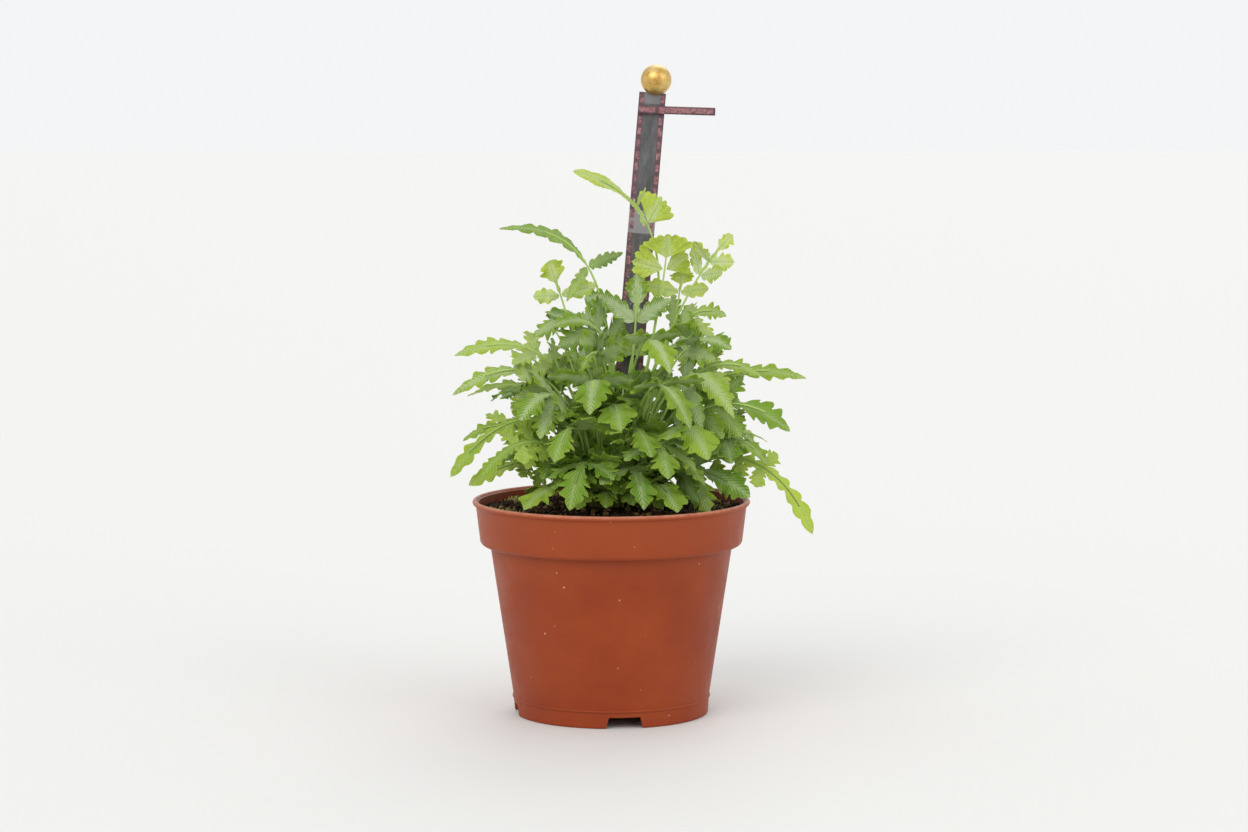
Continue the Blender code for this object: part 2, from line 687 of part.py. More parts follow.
def clear_stalk(frond, free, grown):
    """Plant the frond on the nearest bud from which its stalk touches nothing."""
    lean = Vector((frond.bend[0] + frond.tip[0], frond.bend[1] + frond.tip[1])) * 0.5
    lowness = max(0.1, 1 - frond.bend[2] / TALLEST_BEND)
    wanted = Vector(CROWN_OFFSET) + lean.normalized() * CROWN_DEPTH / 2 * lowness
    free = sorted(free, key=lambda place: (place.xy - wanted).length)
    searches = ((free[:BUD_TRIES], STALK_TURNS), (free, STALK_TURNS + FAR_TURNS))
    for buds, turns in searches:
        for lift, turn, bud in itertools.product(STALK_LIFTS, turns, buds):
            frond.place(bud, turn, lift)
            if grown.is_clear(frond.stalk_strip()):
                return bud
    print("no clear stalk for frond", frond.number + 1)
    frond.place(free[0])
    return free[0]


def clear_leaflet(frond, pair, hand, stalk, grown):
    """The first scale, lift and swing at which a leaflet touches nothing, or None."""
    for scale in LEAFLET_SCALES:
        for lift in LEAFLET_LIFTS:
            for swing in LEAFLET_SWINGS:
                strip = frond.leaflet_strip(pair, hand, scale, lift, swing)
                if grown.is_clear(strip, stalk):
                    grown.add_strip(strip, skip_root=True)
                    return scale, lift, swing
    print("no room for a leaflet on frond", frond.number + 1, pair, hand)
    return None


def make_frond(frond, look):
    """One sheet for stalk, leaflets and end leaflet, given its thickness."""
    bm = bmesh.new()
    rows = []
    for centre, side, over, half in frond.stalk_strip():
        rows.append((bm.verts.new(centre - side * half), bm.verts.new(centre + side * half)))
    for (left, right), (next_left, next_right) in zip(rows, rows[1:]):
        bm.faces.new((left, right, next_right, next_left))
    for pair, hand, scale, lift, swing in frond.leaflets:
        lower = rows[STALK_ROWS + 2 * pair][hand > 0]
        upper = rows[STALK_ROWS + 2 * pair + 1][hand > 0]
        for centre, side, over, half in frond.leaflet_strip(pair, hand, scale, lift, swing)[1:]:
            next_lower = bm.verts.new(centre - side * half)
            next_upper = bm.verts.new(centre + side * half)
            ring = (lower, next_lower, next_upper, upper)
            bm.faces.new(ring if hand > 0 else tuple(reversed(ring)))
            lower, upper = next_lower, next_upper
    name = f"frond_{frond.number + 1:02d}"
    made = bpy.data.meshes.new(name)
    bm.to_mesh(made)
    bm.free()
    item = add_object(name, made, look)
    wall = item.modifiers.new("thickness", "SOLIDIFY")
    wall.thickness = SHEET
    wall.offset = 0.0
    return item


# ------------------------------------------------------------------ whole

def centre_on_box(items):
    """Move everything so that the middle of the box's underside is the origin."""
    graph = bpy.context.evaluated_depsgraph_get()
    corners = []
    for item in items:
        made = item.evaluated_get(graph).to_mesh()
        corners += [corner.co.copy() for corner in made.vertices]
    low = Vector(map(min, zip(*corners)))
    high = Vector(map(max, zip(*corners)))
    shift = Matrix.Translation((-(low.x + high.x) / 2, -(low.y + high.y) / 2, -low.z))
    for item in bpy.data.objects:
        item.data.transform(shift)


def main():
    clear_scene()
    pot_look = material("pot_plastic", (0.36, 0.082, 0.024), 0.45)
    soil_look = material("peat", (0.020, 0.012, 0.007), 0.95)
    crown_look = material("crown_bark", (0.045, 0.028, 0.012), 0.9)
    strip_look = material("marker_board", (0.060, 0.055, 0.060), 0.6)
    arm_look = material("marker_trim", (0.30, 0.12, 0.13), 0.6)
    ball_look = material("ball_brass", (0.55, 0.38, 0.14), 0.35, 1.0)
    leaf_looks = {
        "crest": material("leaf_crest", (0.27, 0.50, 0.07), 0.5),
        "plume": material("leaf_plume", (0.18, 0.40, 0.06), 0.5),
        "sprig": material("leaf_sprig", (0.23, 0.46, 0.06), 0.5),
        "fan": material("leaf_fan", (0.26, 0.50, 0.06), 0.5),
        "young": material("leaf_young", (0.22, 0.45, 0.06), 0.5),
        "broad": material("leaf_broad", (0.10, 0.30, 0.03), 0.45),
        "lobed": material("leaf_lobed", (0.08, 0.26, 0.03), 0.45),
        "strap": material("leaf_strap", (0.13, 0.34, 0.04), 0.45),
        "wand": material("leaf_wand", (0.11, 0.30, 0.04), 0.45),
        "lace": material("leaf_lace", (0.16, 0.36, 0.04), 0.45),
        "crozier": material("leaf_crozier", (0.25, 0.42, 0.08), 0.5),
    }

    pot = make_pot(pot_look)
    crown = add_object("fern_crown", to_mesh("fern_crown", crown_mesh(0.0), math.radians(60)), crown_look)
    holes = [cutter("crown_cutter", crown_mesh(FIT_GAP)), cutter("strip_cutter", strip_mesh(FIT_GAP))]
    soil = make_soil(soil_look, holes)
    marker = make_marker(strip_look, arm_look, ball_look)

    grown = Grown()
    for item in [pot, soil] + marker:
        grown.add_object(item)
    for low, high in WATERING_GAPS:
        corner_low = [value * MM for value in low]
        corner_high = [value * MM for value in high]
        corner_low[2] += SOIL_TOP
        corner_high[2] += SOIL_TOP
        grown.add_box(corner_low, corner_high)
    fronds = grow_fronds(grown)
    items = [pot, soil, crown] + marker
    for frond in fronds:
        items.append(make_frond(frond, leaf_looks[PLAN[frond.number][0]]))
    centre_on_box(items)


main()
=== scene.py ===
import math
import random

import bmesh
import bpy
from mathutils import Matrix, Vector, noise
from mathutils.kdtree import KDTree


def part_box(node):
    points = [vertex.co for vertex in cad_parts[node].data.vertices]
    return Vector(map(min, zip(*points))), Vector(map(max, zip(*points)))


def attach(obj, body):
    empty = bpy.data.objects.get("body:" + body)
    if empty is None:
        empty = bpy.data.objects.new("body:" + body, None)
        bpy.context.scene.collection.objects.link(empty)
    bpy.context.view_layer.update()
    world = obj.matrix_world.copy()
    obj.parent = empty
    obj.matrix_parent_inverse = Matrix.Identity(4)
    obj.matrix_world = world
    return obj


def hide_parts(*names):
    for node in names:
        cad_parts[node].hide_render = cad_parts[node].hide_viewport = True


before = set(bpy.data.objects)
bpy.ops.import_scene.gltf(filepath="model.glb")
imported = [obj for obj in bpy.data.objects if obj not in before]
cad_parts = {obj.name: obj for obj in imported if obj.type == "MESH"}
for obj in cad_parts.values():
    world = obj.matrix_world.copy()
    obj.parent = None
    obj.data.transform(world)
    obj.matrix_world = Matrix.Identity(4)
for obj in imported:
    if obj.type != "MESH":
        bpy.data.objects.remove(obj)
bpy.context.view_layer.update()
mm = 0.001
up = Vector((0, 0, 1))

# everything is modelled round the pot's axis and moved there at the end
potLow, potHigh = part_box("pot")
potAxis = Vector(((potLow.x + potHigh.x) / 2, (potLow.y + potHigh.y) / 2, potLow.z))


# sRGB hex to the linear colour that Blender's sockets hold
def hexColour(text):
    parts = [int(text[i:i + 2], 16) / 255 for i in (1, 3, 5)]
    return tuple(c / 12.92 if c <= 0.04045 else ((c + 0.055) / 1.055) ** 2.4 for c in parts) + (1.0,)


# one node with its settings; inputs are values or the sockets that feed them
def addNode(tree, kind, inputs=None, stops=None, **settings):
    node = tree.nodes.new(kind)
    for name, value in settings.items():
        setattr(node, name, value)
    if stops:
        ramp = node.color_ramp.elements
        while len(ramp) < len(stops):
            ramp.new(0.5)
        for step, (place, colour) in zip(ramp, stops):
            step.position = place
            step.color = colour
    for name, value in (inputs or {}).items():
        if isinstance(value, bpy.types.NodeSocket):
            tree.links.new(value, node.inputs[name])
        else:
            node.inputs[name].default_value = value
    return node


# the commonest nodes: a range, a sum, a blend and a noise
def ranged(tree, value, start, end, low=0.0, high=1.0):
    return addNode(tree, "ShaderNodeMapRange", {
        "Value": value, "From Min": start, "From Max": end, "To Min": low, "To Max": high}).outputs["Result"]


def maths(tree, operation, *values):
    return addNode(tree, "ShaderNodeMath", dict(enumerate(values)), operation=operation).outputs[0]


def blended(tree, share, first, second):
    colours = {0: share, 6: first, 7: second}
    return addNode(tree, "ShaderNodeMix", colours, data_type="RGBA").outputs[2]


# size in mm
def mottled(tree, place, size, detail, roughness=0.5, distortion=0.0):
    return addNode(tree, "ShaderNodeTexNoise", {
        "Vector": place, "Scale": 1 / (size * mm), "Detail": detail, "Roughness": roughness,
        "Distortion": distortion}).outputs["Fac"]


# object coordinates, a colour ramp, a bump and the surface itself; distances in mm
def placeOn(tree):
    return addNode(tree, "ShaderNodeTexCoord").outputs["Object"]


def toned(tree, share, *stops):
    ramp = [(place, hexColour(text)) for place, text in stops]
    return addNode(tree, "ShaderNodeValToRGB", {"Fac": share}, stops=ramp).outputs["Color"]


def raised(tree, height, strength, distance, normal=None):
    inputs = {"Height": height, "Strength": strength, "Distance": distance * mm}
    if normal is not None:
        inputs["Normal"] = normal
    return addNode(tree, "ShaderNodeBump", inputs).outputs[0]


def addSurface(tree, inputs):
    surface = addNode(tree, "ShaderNodeBsdfPrincipled", inputs)
    addNode(tree, "ShaderNodeOutputMaterial", {"Surface": surface.outputs[0]})


def newMaterial(name):
    made = bpy.data.materials.new(name)
    made.use_nodes = True
    made.node_tree.nodes.clear()
    return made, made.node_tree


# repeatable small differences from -1 to 1, the same rule that set the solids
def jitter(index, channel):
    wave = math.sin(index * 12.9898 + channel * 78.233) * 43758.5453
    return 2.0 * (wave - math.floor(wave)) - 1.0


def smoothStep(low, high, value):
    t = min(1.0, max(0.0, (value - low) / (high - low)))
    return t * t * (3 - 2 * t)


def randomLean(draw, most):
    aboutX = Matrix.Rotation(draw.uniform(-most, most), 4, "X")
    return aboutX @ Matrix.Rotation(draw.uniform(-most, most), 4, "Y")


# a finished piece: mesh moved to the pot's axis, object left at the origin
def finishPiece(name, bm, materials, node, smoothAngle=None):
    bmesh.ops.translate(bm, vec=potAxis, verts=bm.verts)
    mesh = bpy.data.meshes.new(name)
    bm.to_mesh(mesh)
    bm.free()
    mesh.shade_smooth()
    if smoothAngle:
        mesh.set_sharp_from_angle(angle=math.radians(smoothAngle))
    for look in materials:
        mesh.materials.append(look)
    piece = bpy.data.objects.new(name, mesh)
    bpy.context.scene.collection.objects.link(piece)
    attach(piece, "root")
    if node:
        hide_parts(node)
    return piece


view = {
    "distance": 1.500,          # from the pot's axis
    "height": 0.2838,           # of the lens
    "aimHeight": 0.129,
    "aimRight": 0.0055,
    "lens": 100.8,
    "floorColour": "#dad9d6",
    "floorSize": 9.0,
}


def makeStudio():
    scene = bpy.context.scene
    aim = potAxis + Vector((view["aimRight"], 0, view["aimHeight"]))
    eye = potAxis + Vector((view["aimRight"], -view["distance"], view["height"]))
    lensData = bpy.data.cameras.new("studioCamera")
    lensData.lens = view["lens"]
    lensData.sensor_width = 36
    lensData.clip_end = 60
    camera = bpy.data.objects.new("studioCamera", lensData)
    camera.location = eye
    camera.rotation_euler = (aim - eye).to_track_quat("-Z", "Y").to_euler()
    scene.collection.objects.link(camera)
    scene.camera = camera

    bm = bmesh.new()
    bmesh.ops.create_grid(bm, x_segments=1, y_segments=1, size=view["floorSize"])
    mesh = bpy.data.meshes.new("studioFloor")
    bm.to_mesh(mesh)
    bm.free()
    floor = bpy.data.objects.new("studioFloor", mesh)
    floor.location.z = potLow.z
    look, tree = newMaterial("mattFloorPaint")
    addSurface(tree, {"Base Color": hexColour(view["floorColour"]), "Roughness": 0.75})
    mesh.materials.append(look)
    scene.collection.objects.link(floor)

    # a pale room, one soft sun from the left front and two weaker ones
    world = bpy.data.worlds.new("paleRoom")
    world.use_nodes = True
    world.node_tree.nodes["Background"].inputs["Color"].default_value = (0.98, 0.99, 1.0, 1.0)
    world.node_tree.nodes["Background"].inputs["Strength"].default_value = 0.92
    scene.view_settings.view_transform = "Standard"
    scene.world = world
    lights = (
        ("softKey", (-0.7, -1.3, 1.3), 42, 1.05),
        ("rightFill", (1.2, -1.1, 0.8), 40, 0.45),
        ("backLight", (0.3, 1.3, 1.3), 40, 0.45),
    )
    for name, place, spread, power in lights:
        data = bpy.data.lights.new(name, "SUN")
        data.angle = math.radians(spread)
        data.energy = power
        lamp = bpy.data.objects.new(name, data)
        lamp.location = potAxis + Vector(place)
        ray = potAxis + Vector((0, 0, 0.12)) - lamp.location
        lamp.rotation_euler = ray.to_track_quat("-Z", "Y").to_euler()
        scene.collection.objects.link(lamp)


makeStudio()
print("studio set")


# the same sizes as the solid, in mm; heights come from its box
pot = {
    "rimRadius": 60.0,
    "lipOverhang": 1.4,
    "lipHeight": 2.2,
    "collarHeight": 15.0,
    "collarTaper": 1.8,
    "shoulderWidth": 4.6,
    "shoulderDrop": 2.2,
    "footRadius": 42.1,
    "footBandHeight": 7.8,
    "footBandStep": 0.4,
    "footRingWidth": 2.4,
    "footEdge": 0.9,
    "floorHeight": 5.2,
    "wall": 1.3,
    "notchWidth": 13.5,
    "notchFlare": 1.2,
    "notchTurn": -82,
    "slotRing": 24.0,
    "slotLength": 12.0,
    "slotWidth": 3.6,
    "segments": 192,
}
pot["height"] = (potHigh.z - potLow.z) / mm
soilTop = pot["height"] - 4.5


def arcPoints(centre, radius, start, end, steps):
    points = []
    for i in range(steps + 1):
        angle = math.radians(start + (end - start) * i / steps)
        points.append((centre[0] + radius * math.cos(angle), centre[1] + radius * math.sin(angle)))
    return points


# radius and height of the inside, from the lip down to the floor's edge
def innerWall():
    collarTop = pot["rimRadius"] - pot["lipOverhang"]
    collarFoot = collarTop - pot["collarTaper"]
    bodyTop = collarFoot - pot["shoulderWidth"]
    shoulder = pot["height"] - pot["lipHeight"] - pot["collarHeight"]
    floorTop = pot["floorHeight"] + pot["wall"]
    foot = pot["footRadius"] + pot["footBandStep"]
    wall = pot["wall"]
    return [
        (collarTop - wall, pot["height"] - pot["lipHeight"] / 2),
        (collarFoot - wall, shoulder + wall),
        (bodyTop - wall, shoulder - pot["shoulderDrop"]),
        (foot - wall, floorTop + 2 * wall),
        (foot - 3 * wall, floorTop),
    ]


def potOutline():
    rim = pot["rimRadius"]
    collarTop = rim - pot["lipOverhang"]
    collarFoot = collarTop - pot["collarTaper"]
    bodyTop = collarFoot - pot["shoulderWidth"]
    foot = pot["footRadius"]
    step = pot["footBandStep"]
    shoulder = pot["height"] - pot["lipHeight"] - pot["collarHeight"]
    lip = pot["lipHeight"] / 2
    edge = pot["footEdge"]
    drop = pot["shoulderDrop"]
    outline = [(foot - pot["footRingWidth"], 0.0)]
    outline += arcPoints((foot - edge, edge), edge, -90, 0, 5)
    # the foot band swells a little into a fine ledge where the mould parts
    outline += [(foot + step * 0.8, pot["footBandHeight"] - 2.2 * step)]
    outline += arcPoints((foot + step, pot["footBandHeight"] - step), step * 1.15, -60, 75, 5)
    outline += [(foot + step * 1.05, pot["footBandHeight"] + step * 0.35)]
    outline += [(bodyTop - 0.1, shoulder - drop - 2.0), (bodyTop + 0.25, shoulder - drop - 0.3)]
    outline += [(bodyTop + 0.8, shoulder - drop)]
    outline += arcPoints((collarFoot - drop, shoulder), drop, -70, 0, 6)
    outline += [(collarTop - 0.15, pot["height"] - pot["lipHeight"] - 1.1)]
    outline += [(collarTop + 0.1, pot["height"] - pot["lipHeight"] - 0.3)]
    outline += arcPoints((rim - lip, pot["height"] - lip), lip, -60, 165, 12)
    outline += innerWall()
    outline += [
        (0.0, pot["floorHeight"] + pot["wall"]),
        (0.0, pot["floorHeight"]),
        (foot - pot["footRingWidth"], pot["floorHeight"]),
    ]
    return [(x * mm, z * mm) for x, z in outline]


# turn a closed outline round the upright axis
def turned(outline, segments):
    bm = bmesh.new()
    corners = [bm.verts.new((x, 0, z)) for x, z in outline]
    edges = [bm.edges.new((corners[i], corners[(i + 1) % len(corners)])) for i in range(len(corners))]
    bmesh.ops.spin(bm, geom=corners + edges, cent=(0, 0, 0), axis=(0, 0, 1), angle=math.tau,
                   steps=segments, use_merge=True, use_duplicate=False)
    bmesh.ops.remove_doubles(bm, verts=bm.verts, dist=1e-6)
    bmesh.ops.dissolve_degenerate(bm, edges=bm.edges, dist=1e-7)
    loose = [edge for edge in bm.edges if not edge.link_faces]
    bmesh.ops.delete(bm, geom=loose, context="EDGES")
    bmesh.ops.recalc_face_normals(bm, faces=bm.faces)
    return bm


# give the faces round these corners another of the piece's looks
def paintFaces(corners, index):
    for corner in corners:
        for face in corner.link_faces:
            face.material_index = index


def addBlock(bm, size, place):
    made = bmesh.ops.create_cube(bm, size=1.0)["verts"]
    bmesh.ops.scale(bm, vec=Vector(size) * mm, verts=made)
    bmesh.ops.transform(bm, matrix=place, verts=made)
    return made


# polypropylene, injection moulded: a satin skin with a faint mottle from the mould,
# pale dust specks, rubbed patches and a dusty, sun-paled lip
def polypropyleneLook():
    look, tree = newMaterial("mouldedPolypropylene")
    place = placeOn(tree)
    height = addNode(tree, "ShaderNodeSeparateXYZ", {0: place}).outputs["Z"]
    mottle = mottled(tree, place, 28, 5.0, 0.6)
    body = toned(tree, mottle, (0.30, "#85320e"), (0.52, "#8e3810"), (0.75, "#953f15"))
    # painted light: the pot grows lighter towards the top, where the prouder collar catches more of the
    # light
    topLightMask = ranged(tree, height, potLow.z + 60 * mm, potHigh.z)
    topLitBody = blended(tree, topLightMask, body, hexColour("#96411a"))
    # the lip: rubbed and dusty
    dustNoise = mottled(tree, place, 5, 6.0, 0.7)
    lipHeight = ranged(tree, height, potHigh.z - 1.9 * mm, potHigh.z - 0.2 * mm)
    lipDust = maths(tree, "MULTIPLY", lipHeight, dustNoise)
    lipDust = ranged(tree, lipDust, 0.18, 0.62, high=0.75)
    lipped = blended(tree, lipDust, topLitBody, hexColour("#c48a70"))
    # rare specks of dust, each under 1 mm across
    specks = addNode(tree, "ShaderNodeTexVoronoi", {
        "Vector": place, "Scale": 1 / (5.5 * mm), "Randomness": 1.0}, feature="F1").outputs["Distance"]
    speckMask = ranged(tree, specks, 0.085, 0.045, high=0.8)
    rare = mottled(tree, place, 14, 2.0)
    rareMask = ranged(tree, rare, 0.52, 0.60)
    speckFac = maths(tree, "MULTIPLY", speckMask, rareMask)
    coloured = blended(tree, speckFac, lipped, hexColour("#d9b39a"))
    # handling scuffs make some patches duller
    scuff = mottled(tree, place, 11, 8.0, 0.7, 0.6)
    rough = ranged(tree, scuff, 0.35, 0.70, 0.40, 0.58)
    grain = mottled(tree, place, 0.9, 3.0)
    skin = raised(tree, grain, 0.10, 0.05)
    waves = raised(tree, mottle, 0.25, 0.5, skin)
    addSurface(tree, {
        "Base Color": coloured, "Roughness": rough, "Normal": waves,
        "IOR": 1.49, "Specular IOR Level": 0.28})
    return look


def makePot():
    bm = turned(potOutline(), pot["segments"])
    mesh = bpy.data.meshes.new("potBlank")
    bm.to_mesh(mesh)
    bm.free()
    blank = bpy.data.objects.new("potBlank", mesh)
    bpy.context.scene.collection.objects.link(blank)

    cuts = bmesh.new()
    ringMiddle = pot["footRadius"] - pot["footRingWidth"] / 2
    for i in range(4):
        turn = Matrix.Rotation(math.radians(pot["notchTurn"] + 90 * i), 4, "Z")
        size = (4 * pot["footRingWidth"], pot["notchWidth"], 2 * pot["floorHeight"] - 0.6)
        corners = addBlock(cuts, size, turn @ Matrix.Translation((ringMiddle * mm, 0, 0)))
        side = turn.to_3x3() @ Vector((0, 1, 0))
        for corner in corners:
            if corner.co.z < 0:
                corner.co += side * math.copysign(2 * pot["notchFlare"] * mm, corner.co.dot(side))
    for i in range(8):
        turn = Matrix.Rotation(math.radians(pot["notchTurn"] + 22.5 + 45 * i), 4, "Z")
        middle = (pot["slotRing"] * mm, 0, (pot["floorHeight"] + pot["wall"] / 2) * mm)
        size = (pot["slotLength"], pot["slotWidth"], 4 * pot["wall"])
        addBlock(cuts, size, turn @ Matrix.Translation(middle))
    cutMesh = bpy.data.meshes.new("potCuts")
    cuts.to_mesh(cutMesh)
    cuts.free()
    cutter = bpy.data.objects.new("potCuts", cutMesh)
    bpy.context.scene.collection.objects.link(cutter)
    step = blank.modifiers.new("cuts", "BOOLEAN")
    step.object = cutter
    step.solver = "EXACT"

    graph = bpy.context.evaluated_depsgraph_get()
    cutPot = bmesh.new()
    cutPot.from_mesh(blank.evaluated_get(graph).to_mesh())
    bpy.data.objects.remove(blank)
    bpy.data.objects.remove(cutter)
    finishPiece("nurseryPot", cutPot, [polypropyleneLook()], "pot", 32)


makePot()
print("pot done")


soil = {
    "heap": 1.6,            # mm higher in the middle
    "roughness": 0.9,       # clods, mm
    "crumbCount": 1500,
    "fibreCount": 90,
    "mossTufts": 16,
    "mossLeaves": 26,       # in a tuft
    "gap": 0.3,
}


def soilHeight(x, y):
    reach = min(1.0, math.hypot(x, y) / pot["rimRadius"])
    clods = noise.noise(Vector((x, y, 0)) / 11) * soil["roughness"]
    return soilTop + soil["heap"] * (1 - reach * reach) + clods


# moist peat: near-black brown, matt, with rusty fibres and paler dry crumbs
def peatLook(name, dark, mid, pale):
    look, tree = newMaterial(name)
    place = placeOn(tree)
    crumbs = mottled(tree, place, 1.6, 6.0, 0.75)
    colour = toned(tree, crumbs, (0.34, dark), (0.55, mid), (0.78, pale))
    bump = raised(tree, crumbs, 0.8, 0.5)
    addSurface(tree, {
        "Base Color": colour, "Roughness": 0.92, "Normal": bump, "Specular IOR Level": 0.25})
    return look


def makeSoil():
    top = soilTop
    wall = innerWall()
    share = (top - wall[1][1]) / (wall[0][1] - wall[1][1])
    edge = wall[1][0] + (wall[0][0] - wall[1][0]) * share - soil["gap"]
    rings = 56
    outline = [(edge * i / rings, top) for i in range(rings + 1)]
    for radius, height in wall[1:]:
        outline.append((radius - soil["gap"], height + soil["gap"]))
    outline.append((0.0, pot["floorHeight"] + pot["wall"] + soil["gap"]))
    bm = turned([(x * mm, z * mm) for x, z in outline], 200)
    for corner in bm.verts:
        if corner.co.z > (top - 0.01) * mm:
            x, y = corner.co.x / mm, corner.co.y / mm
            fine = noise.fractal(Vector((x, y, 3)) / 2.6, 0.6, 2.0, 4) * 0.9
            lumps = noise.noise(Vector((x, y, 9)) / 5.0) * 0.9
            corner.co.z = (soilHeight(x, y) - 0.9 + fine + lumps) * mm
    peat = peatLook("moistPeat", "#140d08", "#2c1e12", "#5a4027")
    finishPiece("peatSurface", bm, [peat], "potting_soil")


# crumbs, fibres and moss lie on the surface and rest into it
def makeCrumbs():
    draw = random.Random(41)
    # unseeded, noise_vector takes its offsets from the clock
    noise.seed_set(41)
    bm = bmesh.new()
    edge = pot["rimRadius"] - 4.6
    for i in range(soil["crumbCount"]):
        reach = edge * math.sqrt(draw.random())
        angle = draw.uniform(0, math.tau)
        x, y = reach * math.cos(angle), reach * math.sin(angle)
        size = 0.45 + 1.5 * draw.random() ** 3
        height = soilHeight(x, y) + size * 0.2
        spin = Matrix.Rotation(draw.uniform(0, math.tau), 4, "Z")
        spin = spin @ Matrix.Rotation(draw.uniform(-0.6, 0.6), 4, "X")
        longer, wider = draw.uniform(0.7, 1.3), draw.uniform(0.6, 1.0)
        stretch = Matrix.Diagonal((size * longer, size * wider, size * 0.7, 1))
        place = Matrix.Translation(Vector((x, y, height)) * mm) @ spin @ stretch @ Matrix.Scale(mm, 4)
        made = bmesh.ops.create_icosphere(bm, subdivisions=1, radius=1.0, matrix=place)["verts"]
        tone = draw.choice((0, 0, 0, 1, 1, 2, 2))
        for corner in made:
            corner.co += noise.noise_vector(corner.co / (0.8 * mm)) * size * 0.35 * mm
        paintFaces(made, tone)
    looks = [
        peatLook("darkPeatCrumb", "#120b06", "#261910", "#46311e"),
        peatLook("brownPeatCrumb", "#23160c", "#3f2a18", "#6b4c2e"),
        peatLook("dryPeatCrumb", "#4a3a22", "#83683f", "#b3996a"),
    ]
    finishPiece("peatCrumbs", bm, looks, None)


# a thin bent thread: a ring of a few sides, extruded from point to point
def addThread(bm, points, radius, sides=3, tip=0.4):
    frames = []
    for i, point in enumerate(points):
        ahead = (points[min(i + 1, len(points) - 1)] - points[max(i - 1, 0)]).normalized()
        grow = 1 - (1 - tip) * i / (len(points) - 1)
        turn = ahead.to_track_quat("Z", "X").to_matrix().to_4x4()
        frames.append(Matrix.Translation(point) @ turn @ Matrix.Scale(grow, 4))
    start = bmesh.ops.create_circle(
        bm, cap_ends=True, radius=radius, segments=sides, matrix=frames[0])["verts"]
    made = list(start)
    ring = list({edge for corner in start for edge in corner.link_edges})
    for before, after in zip(frames, frames[1:]):
        grown = bmesh.ops.extrude_edge_only(bm, edges=ring)["geom"]
        corners = [part for part in grown if isinstance(part, bmesh.types.BMVert)]
        ring = [part for part in grown if isinstance(part, bmesh.types.BMEdge)]
        bmesh.ops.transform(bm, matrix=after @ before.inverted(), verts=corners)
        made += corners
    bmesh.ops.contextual_create(bm, geom=ring)
    return made


def makeFibres():
    draw = random.Random(7)
    bm = bmesh.new()
    for i in range(soil["fibreCount"]):
        reach = (pot["rimRadius"] - 6) * math.sqrt(draw.random())
        angle = draw.uniform(0, math.tau)
        spot = Vector((reach * math.cos(angle), reach * math.sin(angle), 0))
        heading = draw.uniform(0, math.tau)
        length = draw.uniform(4, 13)
        points = []
        for step in range(6):
            heading += draw.uniform(-0.5, 0.5)
            spot = spot + Vector((math.cos(heading), math.sin(heading), 0)) * length / 6
            if spot.length > pot["rimRadius"] - 5:
                spot *= (pot["rimRadius"] - 5) / spot.length
            lift = soilHeight(spot.x, spot.y) + 0.35 + 0.9 * math.sin(step * 1.1 + i)
            points.append(Vector((spot.x, spot.y, lift)) * mm)
        addThread(bm, points, draw.uniform(0.10, 0.26) * mm)
    bmesh.ops.recalc_face_normals(bm, faces=bm.faces)
    fibre = peatLook("rootFibre", "#3a2413", "#6d4a2a", "#a98455")
    finishPiece("rootFibres", bm, [fibre], None)


# cushion moss: soft yellow-green tufts of short pointed leaves
def mossLook():
    look, tree = newMaterial("cushionMoss")
    place = placeOn(tree)
    patch = mottled(tree, place, 2.2, 3.0)
    colour = toned(tree, patch, (0.35, "#6a672b"), (0.6, "#aaa35c"))
    addSurface(tree, {"Base Color": colour, "Roughness": 0.85})
    return look


def makeMoss():
    draw = random.Random(12)
    bm = bmesh.new()
    middles = [(204, 50), (196, 46), (211, 48), (330, 44), (344, 50), (20, 48), (95, 47), (150, 50),
               (232, 46), (286, 50), (188, 52), (219, 52), (352, 45), (120, 44), (62, 50), (300, 47)]
    for angle, reach in middles[:soil["mossTufts"]]:
        cx = reach * math.cos(math.radians(angle))
        cy = reach * math.sin(math.radians(angle))
        for i in range(soil["mossLeaves"]):
            x = cx + draw.gauss(0, 1.6)
            y = cy + draw.gauss(0, 1.6)
            if math.hypot(x, y) > pot["rimRadius"] - 4.5:
                continue
            height = draw.uniform(1.0, 2.6)
            lean = randomLean(draw, 0.7)
            place = Matrix.Translation(Vector((x, y, soilHeight(x, y) + height * 0.3)) * mm) @ lean
            bmesh.ops.create_cone(bm, cap_ends=True, segments=5, radius1=0.42 * mm, radius2=0.08 * mm,
                                  depth=height * mm, matrix=place)
    finishPiece("mossTufts", bm, [mossLook()], None)


makeSoil()
makeCrumbs()
makeFibres()
makeMoss()
print("soil done")


crown = {"chaffCount": 150}
crown["low"], crown["high"] = (Vector(corner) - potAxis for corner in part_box("fern_crown"))


